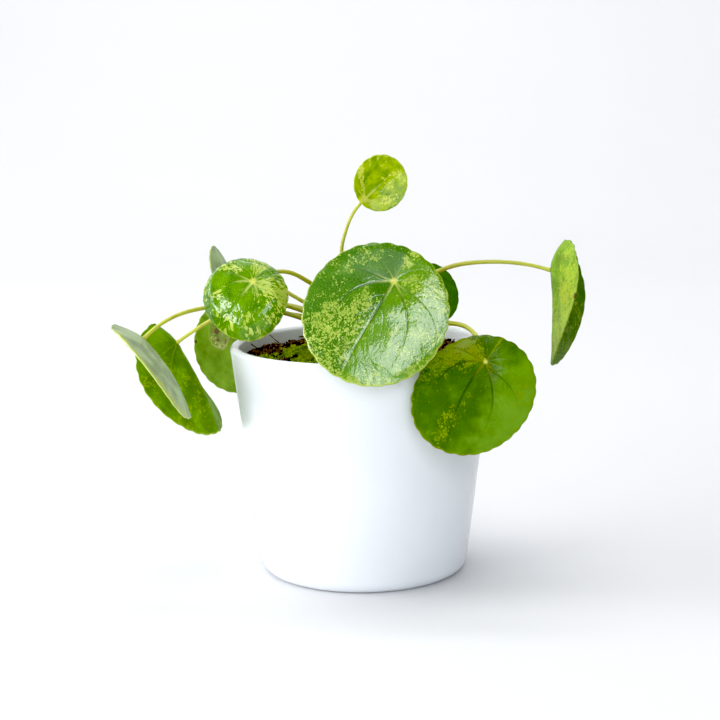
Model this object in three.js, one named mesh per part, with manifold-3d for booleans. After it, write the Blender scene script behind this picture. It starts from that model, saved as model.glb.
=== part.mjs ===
// A pilea in a white glazed pot: the pot, its soil, one short stalk, and eleven
// round leaves, each a blade on a long petiole that meets it inside its margin.
// Millimetres, +Z up. The origin is the centre of the pot's flat underside, and
// -Y is the side of the pot that the two largest leaves hang over.
import * as THREE from 'three';
import { mergeVertices } from 'three/addons/utils/BufferGeometryUtils.js';
import Module from 'manifold-3d';

// ---- driving dimensions ----------------------------------------------------

const GAP = 0.3; // clearance between neighbouring pieces that touch in life
const STALK_GAP = 0.4; // clearance round the stalk

const POT_HEIGHT = 105.7;
const POT_RIM_RADIUS = 60; // outside, at the lip
const POT_FOOT_RADIUS = 47.8; // outside, where the wall meets the rounded foot
const POT_FOOT_ROUND = 6; // radius of the rounded edge round the underside
const POT_WALL = 4.2;
const POT_FLOOR = 6;
const POT_STEPS = 56; // flat strips round the pot

const SOIL_LEVEL = 99.4;
const SOIL_CROWN = 1.6; // how much higher the soil is round the stalk
const SOIL_LUMP = 1.05; // how far its lumps rise and its hollows sink
const SOIL_EDGE_DEPTH = 3; // the edge of its surface lies less than this below its level
const SOIL_STEPS = 48;
const SOIL_RINGS = [0.3, 0.48, 0.66, 0.84, 1]; // shares of the way from the middle to its edge

const STALK_X = 5; // the stalk stands a little to the right of the middle
const STALK_BOTTOM = 86;
const STALK_TOP = 119;
const STALK_RADIUS = 3.1; // at the bottom
const STALK_SHAPE = [ // [height fraction, radius fraction], with swollen leaf joints
  [0, 0.9], [0.1, 1], [0.5, 1], [0.56, 1.1], [0.64, 0.98], [0.7, 1.08],
  [0.78, 0.94], [0.84, 1.02], [0.91, 0.84], [0.96, 0.66],
];
const STALK_STEPS = 14;

const PETIOLE_STEPS = 14;
const PETIOLE_SIDES = 8;
const PETIOLE_TAPER = 0.68; // radius at the blade as a share of that at the stalk

const BLADE_THICKNESS = 0.7;
const BLADE_RINGS = [0.32, 0.68, 1]; // shares of the way from the petiole to the margin
const SCALLOP_DEPTH = 0.018; // share of the blade's radius
const STEPS_PER_SCALLOP = 2;
const DIMPLE_SPREAD = 7; // radius of the hollow where the petiole meets the blade
const ROLL_START = 0.55; // share of the radius where a margin starts to turn down

const COLOURS = {
  pot: 0xf2f4f6,
  soil: 0x3b2a1e,
  stalk: 0x7a6a3c,
  petiole: 0xa8b04a,
  blade: 0x4f9a1e,
  old: 0x8f9a4c,
};

// Each leaf. at: where its petiole meets the blade. tip: the way that its midrib
// runs. face: the way that its upper side looks. radius and shift: the size of the
// round outline, and how far its centre lies from the petiole toward the tip. oval
// and skew: how far the outline is from round. scallops: how many round the margin.
// hinge: radius that the halves bend over along the midrib, fold: the most that each
// half turns there in degrees (positive brings the upper sides together), lessening:
// how many degrees of that go for each centimetre toward the tip, uneven: how many
// more the left half turns than the right. droop: bend along the midrib per mm, down
// at the tip. lift: how much the short lobe behind the petiole rises, per mm squared.
// dimple: depth at the petiole. roll: how far the outer part turns down, from
// ROLL_START of the radius on. stem: the points its petiole runs through from the
// stalk, and stemRadius: its radius there.
const LEAVES = [
  {
    name: '01_top', at: [2.4, -6, 171.1], tip: [0.7, 0.13, 0.7], face: [0.14, -0.98, 0.08],
    radius: 12.5, shift: 10.2, oval: 0.01, skew: 0.025, scallops: 16,
    hinge: 44, fold: 40, lessening: 0, uneven: 0, droop: -0.006, lift: 0, dimple: 0, roll: 0,
    stem: [[5, -0.4, 117.6], [0.6, -2.4, 127], [-6.6, -3.8, 139], [-8.3, -4, 147.5],
      [-6.1, -3.6, 157.3], [-2.6, -3.2, 165], [0.9, -2.6, 169.4], [2.4, -6, 171.1]],
    stemRadius: 1.0,
  },
  {
    name: '02_left', at: [-47.6, -20, 136.8], tip: [-0.6, -0.42, -0.68], face: [-0.06, -0.82, 0.57],
    radius: 19.9, shift: 7.4, oval: -0.011, skew: 0, scallops: 22,
    hinge: 66, fold: -60, lessening: 0, uneven: 0, droop: 0.034, lift: 0, dimple: 1.2, roll: 3,
    stem: [[4.2, -0.8, 113.4], [-9, -2.4, 123.4], [-22, -4, 133.2], [-32.4, -8, 139.2], [-42.6, -11, 139.2],
      [-47, -15.2, 137.6], [-47.6, -20, 136.8]],
    stemRadius: 1.2,
  },
  {
    name: '03_front', at: [14, -60, 141], tip: [-0.51, -0.32, -0.79], face: [-0.05, -0.91, 0.4],
    radius: 31.2, shift: 15.8, oval: 0.009, skew: -0.014, scallops: 28,
    hinge: 138, fold: -60, lessening: 0, uneven: 0, droop: 0.0056, lift: 0, dimple: 1.4, roll: 0,
    stem: [[5.2, -0.9, 112], [7, -10, 123], [9.5, -27, 134.5], [12, -44, 141], [13.6, -53, 142.4],
      [14, -60, 141]],
    stemRadius: 1.4,
  },
  {
    name: '04_right_front', at: [52.2, -60, 106.2], tip: [-0.32, -0.2, -0.93], face: [0.05, -0.98, 0.2],
    radius: 26.3, shift: 15.1, oval: 0.018, skew: -0.077, scallops: 28,
    hinge: 67, fold: -60, lessening: 0, uneven: 0, droop: 0.0059, lift: 0, dimple: 1.2, roll: 0,
    stem: [[5.8, -0.6, 106.4], [20, -9, 112.6], [33, -19, 116.6], [42.3, -28, 117.5], [47.2, -40, 116.8],
      [50.4, -50, 113.4], [51.8, -56.6, 109], [52.2, -60, 106.2]],
    stemRadius: 1.3,
  },
  {
    name: '05_far_right', at: [86.6, -2, 137.2], tip: [0.01, -0.32, -0.95], face: [0.99, -0.13, 0.05],
    radius: 28.3, shift: 15, oval: 0, skew: 0, scallops: 26,
    hinge: 9, fold: 36, lessening: 5.6, uneven: 3.3, droop: 0.0027, lift: 0.036, dimple: 0.4, roll: 0,
    stem: [[5.9, 0.2, 114.4], [16, -0.2, 125.6], [25, -0.6, 132.6], [36, -1, 137.9], [45, -1.4, 140.6],
      [56, -2, 141.6], [68, -2, 141.2], [78, -2, 139.6], [86.6, -2, 137.2]],
    stemRadius: 1.2,
  },
  {
    name: '06_far_left', at: [-96, -30, 113.2], tip: [0.73, -0.11, -0.67], face: [-0.67, 0.03, -0.74],
    radius: 27.7, shift: 13.4, oval: -0.005, skew: -0.011, scallops: 26,
    hinge: 9, fold: 15, lessening: 4, uneven: -18.3, droop: -0.0145, lift: 0.01, dimple: 0.4, roll: 0,
    stem: [[4, -1, 106.4], [-12, -4.2, 111.4], [-26, -6, 117.6], [-40, -6.4, 122], [-56, -6, 124.4],
      [-70.9, -8.4, 123.6], [-82.2, -16, 121.6], [-91, -25, 117.4], [-96, -30, 113.2]],
    stemRadius: 1.2,
  },
  {
    name: '07_lower_left', at: [-86.9, 18, 103.3], tip: [0.56, -0.17, -0.81], face: [-0.79, 0.16, -0.59],
    radius: 30.2, shift: 16.2, oval: 0, skew: 0, scallops: 28,
    hinge: 9, fold: 38, lessening: 5.8, uneven: 4, droop: -0.007, lift: 0.014, dimple: 0.4, roll: 0,
    stem: [[4, 0.5, 108.6], [-12, 3.4, 113.4], [-26, 5, 119.4], [-38, 6.6, 122.8], [-50, 9, 123],
      [-61, 11.4, 119.2], [-70.5, 14, 114.2], [-79.4, 16.2, 108.6], [-86.9, 18, 103.3]],
    stemRadius: 1.2,
  },
  {
    name: '08_rear_left', at: [-69.6, 60, 102.2], tip: [0.64, 0.14, -0.76], face: [-0.66, 0.61, -0.44],
    radius: 23.8, shift: 11.7, oval: 0, skew: 0, scallops: 26,
    hinge: 60, fold: 20, lessening: 0, uneven: 0, droop: 0.004, lift: 0, dimple: 0.6, roll: 0,
    stem: [[4.2, 0.9, 105.4], [-8, 10.4, 111], [-24, 22.6, 117], [-39, 35, 118.6], [-52, 46, 114.6],
      [-62.4, 54.6, 108.4], [-69.6, 60, 102.2]],
    stemRadius: 1.15,
  },
  {
    name: '09_back', at: [-65.7, 36, 136.3], tip: [0.38, 0.16, -0.91], face: [-0.92, 0.12, -0.36],
    radius: 19.6, shift: 8.4, oval: 0, skew: 0, scallops: 20,
    hinge: 9, fold: 4, lessening: 0, uneven: 0, droop: 0, lift: 0, dimple: 0.4, roll: 0,
    stem: [[4.2, 0.8, 112], [-12, 8, 116.2], [-26, 13, 122.4], [-38, 19, 128.8], [-50, 26, 134.6],
      [-59.4, 32.4, 137], [-65.7, 36, 136.3]],
    stemRadius: 1.1,
  },
  {
    name: '10_rear_right', at: [32, 32, 129], tip: [0.3, -0.3, -0.9], face: [0.35, -0.75, 0.55],
    radius: 15, shift: 6, oval: 0, skew: 0, scallops: 20,
    hinge: 60, fold: -40, lessening: 0, uneven: 0, droop: 0.01, lift: 0, dimple: 0.6, roll: 0,
    stem: [[5.5, 0.8, 110.4], [9.6, 14, 118], [15, 28, 125], [22, 37, 129.4], [28.4, 39, 130.6],
      [32, 32, 129]],
    stemRadius: 1.0,
  },
  {
    name: '11_old', at: [-61.8, -4, 116], tip: [-0.14, 0.04, -1], face: [-0.7, -0.7, 0.14],
    radius: 8, shift: 4.4, oval: 0.03, skew: 0, scallops: 14,
    hinge: 8, fold: 24, lessening: 0, uneven: 0, droop: -0.02, lift: 0, dimple: 0, roll: 0,
    stem: [[4, -0.3, 111], [-12, -1.4, 114.6], [-26, -2, 118.4], [-40, -2.4, 120.4], [-52, -2.8, 120.2],
      [-58, -3.2, 118], [-61.8, -4, 116]],
    stemRadius: 0.9,
  },
];

// ---- helpers ---------------------------------------------------------------

const wasm = await Module();
wasm.setup();

const degrees = (angle) => (angle * Math.PI) / 180;

function toSolid(geometry) {
  const bare = geometry.clone();
  bare.deleteAttribute('normal');
  bare.deleteAttribute('uv');
  const merged = mergeVertices(bare, 1e-4);
  return new wasm.Manifold(new wasm.Mesh({
    numProp: 3,
    vertProperties: new Float32Array(merged.attributes.position.array),
    triVerts: new Uint32Array(merged.index.array),
  }));
}

function toGeometry(solid) {
  const mesh = solid.getMesh();
  const geometry = new THREE.BufferGeometry();
  geometry.setAttribute('position', new THREE.BufferAttribute(new Float32Array(mesh.vertProperties), 3));
  geometry.setIndex(new THREE.BufferAttribute(new Uint32Array(mesh.triVerts), 1));
  return geometry;
}

function fromPoints(points, triangles) {
  const geometry = new THREE.BufferGeometry();
  geometry.setAttribute('position', new THREE.Float32BufferAttribute(points.flat(), 3));
  geometry.setIndex(triangles);
  return geometry;
}

// A lathe turns its profile round Y, and this stands it up along Z.
function lathe(profile, steps) {
  const points = profile.map(([radius, height]) => new THREE.Vector2(radius, height));
  return new THREE.LatheGeometry(points, steps).rotateX(Math.PI / 2);
}

function addMesh(group, name, geometry, colour, roughness) {
  const material = new THREE.MeshStandardMaterial({ color: colour, roughness, metalness: 0 });
  const mesh = new THREE.Mesh(geometry, material);
  mesh.name = name;
  group.add(mesh);
}

// ---- pot -------------------------------------------------------------------

const wallSlope = (POT_RIM_RADIUS - POT_FOOT_RADIUS) / POT_HEIGHT;
const lipRadius = POT_WALL / 2;
const outerRadius = (height) => POT_FOOT_RADIUS + wallSlope * height;
const innerRadius = (height) => outerRadius(height) - POT_WALL;

function potProfile() {
  const profile = [[0, 0]];
  const footCentre = POT_FOOT_RADIUS - POT_FOOT_ROUND;
  for (const angle of [-90, -60, -30, 0]) {
    profile.push([
      footCentre + POT_FOOT_ROUND * Math.cos(degrees(angle)),
      POT_FOOT_ROUND * (1 + Math.sin(degrees(angle))),
    ]);
  }
  const lipHeight = POT_HEIGHT - lipRadius;
  const lipCentre = POT_RIM_RADIUS - lipRadius;
  for (const angle of [0, 45, 90, 135, 180]) {
    profile.push([
      lipCentre + lipRadius * Math.cos(degrees(angle)),
      lipHeight + lipRadius * Math.sin(degrees(angle)),
    ]);
  }
  profile.push([innerRadius(POT_FLOOR + POT_WALL), POT_FLOOR + POT_WALL]);
  profile.push([innerRadius(POT_FLOOR) - POT_WALL, POT_FLOOR]);
  profile.push([0, POT_FLOOR]);
  return profile;
}

// ---- stalk and soil --------------------------------------------------------

function stalkSolid(grow) {
  const length = STALK_TOP - STALK_BOTTOM;
  const profile = [[0, -grow]];
  for (const [up, wide] of STALK_SHAPE) {
    profile.push([STALK_RADIUS * wide + grow, up * length + (up === 0 ? -grow : 0)]);
  }
  profile.push([0, length + grow]);
  return toSolid(lathe(profile, STALK_STEPS).translate(STALK_X, 0, STALK_BOTTOM));
}

// Height of the soil's surface: wide lumps with smaller ones between them, on a low crown.
function soilHeight(x, y) {
  const share = Math.hypot(x, y) / innerRadius(SOIL_LEVEL);
  const wide = Math.sin(x * 0.31 + 1.3) * Math.cos(y * 0.27 - 0.6);
  const small = Math.sin(x * 0.83 - y * 0.71);
  return SOIL_LEVEL + SOIL_CROWN * (1 - share * share) + SOIL_LUMP * (0.63 * wide + 0.37 * small);
}

// The soil fills the pot to a little below the lip: rings of points from the middle
// of its surface out to the wall, then down the wall to its flat underside. It keeps
// twice the gap to the round wall, whose flat strips lie nearer than its corners.
function soilSolid() {
  const floor = POT_FLOOR + GAP;
  const corner = POT_FLOOR + POT_WALL + GAP;
  const points = [];
  const rings = [];
  const ring = (radius, heightOf) => {
    rings.push(points.length);
    for (let step = 0; step < SOIL_STEPS; step += 1) {
      const angle = (2 * Math.PI * step) / SOIL_STEPS;
      const x = radius * Math.cos(angle);
      const y = radius * Math.sin(angle);
      points.push([x, y, heightOf(x, y)]);
    }
  };
  const edge = innerRadius(SOIL_LEVEL - SOIL_EDGE_DEPTH) - 2 * GAP;
  for (const share of SOIL_RINGS) {
    ring(edge * share, soilHeight);
  }
  ring(innerRadius(corner) - 2 * GAP, () => corner);
  ring(innerRadius(POT_FLOOR) - POT_WALL - 2 * GAP, () => floor);
  const top = points.push([0, 0, soilHeight(0, 0)]) - 1;
  const bottom = points.push([0, 0, floor]) - 1;
  const triangles = [];
  for (let step = 0; step < SOIL_STEPS; step += 1) {
    const next = (step + 1) % SOIL_STEPS;
    triangles.push(top, rings[0] + step, rings[0] + next);
    for (let k = 1; k < rings.length; k += 1) {
      const [inner, outer] = [rings[k - 1], rings[k]];
      triangles.push(inner + step, outer + step, outer + next);
      triangles.push(inner + step, outer + next, inner + next);
    }
    const last = rings[rings.length - 1];
    triangles.push(bottom, last + next, last + step);
  }
  return toSolid(fromPoints(points, triangles));
}

// ---- leaves ----------------------------------------------------------------

// Three directions for a leaf: toward its tip, to its left, and up from its face.
function leafAxes(leaf) {
  const tip = new THREE.Vector3(...leaf.tip).normalize();
  const face = new THREE.Vector3(...leaf.face);
  face.addScaledVector(tip, -face.dot(tip)).normalize();
  const left = new THREE.Vector3().crossVectors(face, tip);
  return new THREE.Matrix4().makeBasis(tip, left, face).setPosition(...leaf.at);
}

// Where a point of the flat leaf lies on the bent one. along and across are measured
// from the petiole, and share is 1 at the margin.
function bend(leaf, along, across, share) {
  const side = Math.sign(across);
  const width = Math.abs(across);
  const up = Math.sign(leaf.fold);
  const turn = Math.abs(leaf.fold) - (leaf.lessening * along) / 10 + leaf.uneven * side;
  const angle = Math.min(width / leaf.hinge, degrees(Math.max(turn, 0)));
  const straight = width - leaf.hinge * angle;
  const y = side * (leaf.hinge * Math.sin(angle) + straight * Math.cos(angle));
  let z = up * (leaf.hinge * (1 - Math.cos(angle)) + straight * Math.sin(angle));
  let x = along;
  if (leaf.droop !== 0) {
    x = Math.sin(leaf.droop * along) / leaf.droop;
    z -= (1 - Math.cos(leaf.droop * along)) / leaf.droop;
  }
  const fromPetiole = (along * along + across * across) / (DIMPLE_SPREAD * DIMPLE_SPREAD);
  z += leaf.dimple * (1 - Math.exp(-fromPetiole));
  const behind = Math.min(along, 0);
  z += leaf.lift * behind * behind;
  const rolled = Math.max((share - ROLL_START) / (1 - ROLL_START), 0);
  z -= leaf.roll * rolled * rolled;
  return new THREE.Vector3(x, y, z);
}

// The margin's distance from the outline's centre at an angle from the tip.
function marginRadius(leaf, angle, step) {
  const oval = leaf.oval * Math.cos(2 * angle) + leaf.skew * Math.sin(2 * angle);
  const notch = step % STEPS_PER_SCALLOP === 0 ? SCALLOP_DEPTH : 0;
  return leaf.radius * (1 + oval - notch);
}

// A blade: one middle surface of rings round the petiole, moved half a thickness
// to each side along its own normal, with the same triangles on both faces.
function bladeSolid(leaf, thickness) {
  const steps = leaf.scallops * STEPS_PER_SCALLOP;
  const middle = [bend(leaf, 0, 0, 0)];
  for (const share of BLADE_RINGS) {
    for (let step = 0; step < steps; step += 1) {
      const angle = (2 * Math.PI * step) / steps;
      const radius = marginRadius(leaf, angle, step);
      const along = (leaf.shift + radius * Math.cos(angle)) * share;
      middle.push(bend(leaf, along, radius * Math.sin(angle) * share, share));
    }
  }
  const faces = [];
  for (let step = 0; step < steps; step += 1) {
    const next = (step + 1) % steps;
    faces.push([0, 1 + step, 1 + next]);
    for (let k = 1; k < BLADE_RINGS.length; k += 1) {
      const inner = 1 + (k - 1) * steps;
      const outer = 1 + k * steps;
      faces.push([inner + step, outer + step, outer + next]);
      faces.push([inner + step, outer + next, inner + next]);
    }
  }
  const sheet = fromPoints(middle.map((point) => point.toArray()), faces.flat());
  sheet.computeVertexNormals();
  const normals = sheet.attributes.normal;
  const points = [];
  for (const side of [1, -1]) {
    middle.forEach((point, k) => {
      const normal = new THREE.Vector3().fromBufferAttribute(normals, k);
      points.push(point.clone().addScaledVector(normal, (side * thickness) / 2).toArray());
    });
  }
  const count = middle.length;
  const rim = 1 + (BLADE_RINGS.length - 1) * steps;
  const triangles = faces.flat();
  for (const [a, b, c] of faces) {
    triangles.push(a + count, c + count, b + count);
  }
  for (let step = 0; step < steps; step += 1) {
    const here = rim + step;
    const next = rim + ((step + 1) % steps);
    triangles.push(here, here + count, next + count, here, next + count, next);
  }
  return toSolid(fromPoints(points, triangles).applyMatrix4(leafAxes(leaf)));
}

// A petiole: a round section along a curve, drawn thinner toward the blade.
function petioleSolid(leaf) {
  const curve = new THREE.CatmullRomCurve3(leaf.stem.map((point) => new THREE.Vector3(...point)));
  const corners = [];
  for (let side = 0; side < PETIOLE_SIDES; side += 1) {
    const angle = (2 * Math.PI * side) / PETIOLE_SIDES;
    corners.push(new THREE.Vector2(Math.cos(angle), Math.sin(angle)).multiplyScalar(leaf.stemRadius));
  }
  const tube = new THREE.ExtrudeGeometry(new THREE.Shape(corners), {
    steps: PETIOLE_STEPS,
    bevelEnabled: false,
    extrudePath: curve,
  });
  const stations = curve.getSpacedPoints(PETIOLE_STEPS);
  const position = tube.attributes.position;
  for (let k = 0; k < position.count; k += 1) {
    const point = new THREE.Vector3().fromBufferAttribute(position, k);
    let nearest = 0;
    stations.forEach((station, s) => {
      if (point.distanceTo(station) < point.distanceTo(stations[nearest])) {
        nearest = s;
      }
    });
    const thinner = 1 + ((PETIOLE_TAPER - 1) * nearest) / PETIOLE_STEPS;
    point.sub(stations[nearest]).multiplyScalar(thinner).add(stations[nearest]);
    position.setXYZ(k, point.x, point.y, point.z);
  }
  return toSolid(tube);
}

// ---- the plant -------------------------------------------------------------

const plant = new THREE.Group();

addMesh(plant, 'pot', lathe(potProfile(), POT_STEPS), COLOURS.pot, 0.12);

const stalkRoom = stalkSolid(STALK_GAP);
addMesh(plant, 'soil', toGeometry(soilSolid().subtract(stalkRoom)), COLOURS.soil, 0.95);
addMesh(plant, 'stalk', toGeometry(stalkSolid(0)), COLOURS.stalk, 0.6);

for (const leaf of LEAVES) {
  const bladeRoom = bladeSolid(leaf, BLADE_THICKNESS + 2 * GAP);
  const petiole = petioleSolid(leaf).subtract(stalkRoom).subtract(bladeRoom);
  const bladeColour = leaf.name === '11_old' ? COLOURS.old : COLOURS.blade;
  addMesh(plant, `petiole_${leaf.name}`, toGeometry(petiole), COLOURS.petiole, 0.45);
  addMesh(plant, `blade_${leaf.name}`, toGeometry(bladeSolid(leaf, BLADE_THICKNESS)), bladeColour, 0.3);
}

export default plant;
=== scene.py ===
# %% [markdown]
# # A potted pilea
#
# A pilea is a small house plant. Its round, fleshy leaves each stand on a long petiole
# that meets the blade inside its margin, so a leaf looks like a little umbrella. This one
# is variegated, and stands in a plain white glazed pot.
#
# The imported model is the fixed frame. Every finer piece below is made where its solid is,
# from the same driving sizes, and takes that solid's place.

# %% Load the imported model
import math

import bpy
import numpy as np
from mathutils import Matrix, Quaternion, Vector


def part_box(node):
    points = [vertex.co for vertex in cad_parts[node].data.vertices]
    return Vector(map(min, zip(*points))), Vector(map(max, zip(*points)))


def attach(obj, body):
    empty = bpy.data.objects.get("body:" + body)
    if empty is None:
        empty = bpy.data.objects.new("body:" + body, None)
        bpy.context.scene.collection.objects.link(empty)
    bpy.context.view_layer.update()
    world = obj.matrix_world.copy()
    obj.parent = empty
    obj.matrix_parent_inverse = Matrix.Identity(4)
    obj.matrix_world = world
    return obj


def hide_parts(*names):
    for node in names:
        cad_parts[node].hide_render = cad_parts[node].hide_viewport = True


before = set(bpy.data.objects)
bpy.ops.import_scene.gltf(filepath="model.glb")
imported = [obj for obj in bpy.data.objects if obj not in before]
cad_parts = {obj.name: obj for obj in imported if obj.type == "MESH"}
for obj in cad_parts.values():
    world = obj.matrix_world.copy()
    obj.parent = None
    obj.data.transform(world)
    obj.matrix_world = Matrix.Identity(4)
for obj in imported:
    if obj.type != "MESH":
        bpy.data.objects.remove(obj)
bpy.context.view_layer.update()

MM = 0.001

# %% [markdown]
# ## The camera
#
# The photo is taken from a little above the rim, with a long lens. An 85 mm lens on a
# 36 mm wide sensor keeps the lip's ellipse as flat as it is there. The camera could be
# aimed with a constraint; three turns and a place, multiplied, say the same in one place.

# %% Camera
CAMERA_PLACE = Vector((0.0, -0.7668, 0.2332))
CAMERA_PITCH = math.radians(10.06)
CAMERA_YAW = math.radians(-0.061)
CAMERA_ROLL = math.radians(-0.96)
LENS_MM = 85.0
SENSOR_MM = 36.0


def camera_matrix():
    """Where the camera stands, turned right by its yaw, then down by its pitch, then rolled."""
    yaw = Matrix.Rotation(-CAMERA_YAW, 4, "Z")
    pitch = Matrix.Rotation(math.pi / 2 - CAMERA_PITCH, 4, "X")
    return Matrix.Translation(CAMERA_PLACE) @ yaw @ pitch @ Matrix.Rotation(CAMERA_ROLL, 4, "Z")


camera_data = bpy.data.cameras.new("camera")
camera_data.lens = LENS_MM
camera_data.sensor_width = SENSOR_MM
camera = bpy.data.objects.new("camera", camera_data)
bpy.context.scene.collection.objects.link(camera)
camera.matrix_world = camera_matrix()
bpy.context.scene.camera = camera
print("camera looks from", tuple(CAMERA_PLACE))

# %% [markdown]
# ## Node helpers
#
# A material is a small graph of nodes. This class adds a node, plugs its inputs and gives
# back its output, so that each finish below reads as a list of what it is made of.

# %% Node helpers


def rgb(red, green, blue):
    """A colour given as it looks on a screen, 0 to 255, as the linear one that a shader takes."""
    linear = []
    for value in (red, green, blue):
        share = value / 255
        linear.append(share / 12.92 if share <= 0.04045 else ((share + 0.055) / 1.055) ** 2.4)
    return (*linear, 1.0)


class Look:
    """A material, or the world, and its graph. Most methods add a node and return its output."""

    def __init__(self, name, kind=bpy.data.materials):
        self.owner = kind.new(name)
        self.owner.use_nodes = True
        self.tree = self.owner.node_tree

    def plug(self, inputs, key, value):
        """Links an output to an input, or sets the input where the value is a plain one."""
        if isinstance(value, bpy.types.NodeSocket):
            self.tree.links.new(value, inputs[key])
        else:
            inputs[key].default_value = value

    def add(self, kind, inputs, output=0, **settings):
        node = self.tree.nodes.new("ShaderNode" + kind)
        for name, value in settings.items():
            setattr(node, name, value)
        for key, value in inputs.items():
            self.plug(node.inputs, key, value)
        return node.outputs[output]

    def shade(self, **sockets):
        """Sets or links the shader's own sockets, named with _ for a space."""
        for name, value in sockets.items():
            self.plug(self.tree.nodes["Principled BSDF"].inputs, name.replace("_", " "), value)

    def attribute(self, name, output="Fac"):
        """A value that the mesh carries on its vertices."""
        return self.add("Attribute", {}, output, attribute_name=name)

    def place(self):
        return self.add("TexCoord", {}, "Object")

    def placed(self, vector, shift=(0, 0, 0), stretch=(1, 1, 1)):
        return self.add("Mapping", {"Vector": vector, "Location": shift, "Scale": stretch})

    def noise(self, vector, size, detail=2.0, rough=0.5, distortion=0.0, output=0):
        """Soft random blotches of about this size in metres, mostly between 0.3 and 0.7."""
        inputs = {"Vector": vector, "Scale": 1 / size, "Detail": detail}
        inputs.update({"Roughness": rough, "Distortion": distortion})
        return self.add("TexNoise", inputs, output)

    def times(self, first, second, plus=None):
        """The first value times the second, plus a third where one is given."""
        if plus is None:
            return self.add("Math", {0: first, 1: second}, operation="MULTIPLY")
        return self.add("Math", {0: first, 1: second, 2: plus}, operation="MULTIPLY_ADD")

    def between(self, value, low, high, start=0.0, end=1.0):
        """Rises smoothly from start to end while value goes from low to high."""
        inputs = {"Value": value, "From Min": low, "From Max": high, "To Min": start, "To Max": end}
        return self.add("MapRange", inputs, interpolation_type="SMOOTHSTEP")

    def mix(self, factor, first, second):
        """Colour that goes from first to second as the factor goes from 0 to 1."""
        return self.add("Mix", {0: factor, 6: first, 7: second}, 2, data_type="RGBA")

    def lay(self, colour, over, where, strength=1.0):
        """Lays a second colour over the first where the value where is near 1."""
        if strength != 1:
            where = self.times(where, strength)
        return self.mix(where, colour, over)

    def bumped(self, height, distance, strength=1.0, below=None):
        """A surface that height raises by up to this distance in metres."""
        inputs = {"Height": height, "Distance": distance, "Strength": strength}
        if below is not None:
            inputs["Normal"] = below
        return self.add("Bump", inputs)


# %% [markdown]
# ## The studio
#
# A pale floor that curves up into a pale wall, and five soft boxes. One washes the wall,
# and one hangs over the plant, a little to its left. A soft one at the left and a small
# one in front of it light the left margins and draw a bright line on the leaf there. The
# narrow one in front stands for a window: the glossy leaves mirror it as a cool sheen, and
# it slants so that only the halves that shine in the photo see it. A world full of light
# would be simpler, but it greys every leaf, because a leaf mirrors what is in front of it,
# so there is only some of it, and it is stronger at the left than at the right, as the
# pot's shading shows. The darkest tones are pulled down a little, as in print.

# %% Studio
FLOOR_HALF_WIDTH = 3.0
FLOOR_FRONT = -3.0
WALL_START = 1.1
WALL_CURVE = 0.9
WALL_TOP = 3.2
CURVE_STEPS = 24


def make_floor():
    """A plane whose back edge is drawn up in a quarter circle, then straight up."""
    depth = WALL_START - FLOOR_FRONT
    bpy.ops.mesh.primitive_plane_add(size=1, location=(0, 0, 0))
    floor = bpy.context.object
    floor.name = "studio_floor"
    for vertex in floor.data.vertices:
        vertex.co.x *= 2 * FLOOR_HALF_WIDTH
        vertex.co.y = FLOOR_FRONT + (vertex.co.y + 0.5) * depth
    for edge in floor.data.edges:
        ends = [floor.data.vertices[k].co.y for k in edge.vertices]
        edge.select = min(ends) > 0
    for vertex in floor.data.vertices:
        vertex.select = vertex.co.y > 0
    for face in floor.data.polygons:
        face.select = False
    bpy.ops.object.mode_set(mode="EDIT")
    bpy.ops.mesh.select_mode(type="EDGE")
    turn = math.pi / 2 / CURVE_STEPS
    for step in range(CURVE_STEPS):
        slope = (step + 0.5) * turn
        length = 2 * WALL_CURVE * math.sin(turn / 2)
        move = (0, length * math.cos(slope), length * math.sin(slope))
        bpy.ops.mesh.extrude_region_move(TRANSFORM_OT_translate={"value": move})
    rest = (0, 0, WALL_TOP - WALL_CURVE)
    bpy.ops.mesh.extrude_region_move(TRANSFORM_OT_translate={"value": rest})
    bpy.ops.object.mode_set(mode="OBJECT")
    bpy.ops.object.shade_smooth()
    return floor


def floor_finish():
    look = Look("studio_paper")
    cloudy = look.noise(look.place(), 0.4)
    colour = look.mix(cloudy, rgb(228, 229, 232), rgb(233, 234, 237))
    look.shade(Base_Color=colour, Roughness=0.7, Specular_IOR_Level=0.2)
    return look.owner


def soft_box(name, place, aim, width, height, watts, colour, lean):
    """A rectangular light of even brightness that faces the point aim, its top leaning
    this many degrees to the plant's right."""
    data = bpy.data.lights.new(name, "AREA")
    data.shape = "RECTANGLE"
    data.size, data.size_y = width, height
    data.energy = watts
    data.color = colour
    light = bpy.data.objects.new(name, data)
    bpy.context.scene.collection.objects.link(light)
    light.location = place
    facing = (Vector(aim) - Vector(place)).to_track_quat("-Z", "Y")
    light.rotation_euler = (facing @ Quaternion((0, 0, 1), math.radians(-lean))).to_euler()
    light.visible_camera = False


floor = make_floor()
floor.data.materials.append(floor_finish())

WHITE = (1.0, 1.0, 1.0)
PLANT_MIDDLE = (0.0, 0.0, 0.1)
SOFT_BOXES = {  # place, what it faces, width, height, watts, colour, lean
    "light_wall": ((0.0, 0.7, 2.1), (0.0, 2.0, 0.6), 3.2, 0.8, 27, WHITE, 0),
    "light_above": ((-0.45, 0.15, 1.9), (0.0, 0.0, 0.0), 1.8, 1.5, 16, WHITE, 0),
    "light_left": ((-1.16, -0.06, 0.42), PLANT_MIDDLE, 0.9, 0.5, 7.6, (1.0, 0.99, 0.975), 0),
    "light_glint": ((-0.93, -0.73, 0.34), PLANT_MIDDLE, 0.3, 0.2, 3.0, WHITE, 0),
    "light_window": ((0.06, -1.06, 0.475), PLANT_MIDDLE, 0.36, 0.74, 4.8, (0.93, 0.97, 1.0), 44),
}
for name, values in SOFT_BOXES.items():
    soft_box(name, *values)

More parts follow.
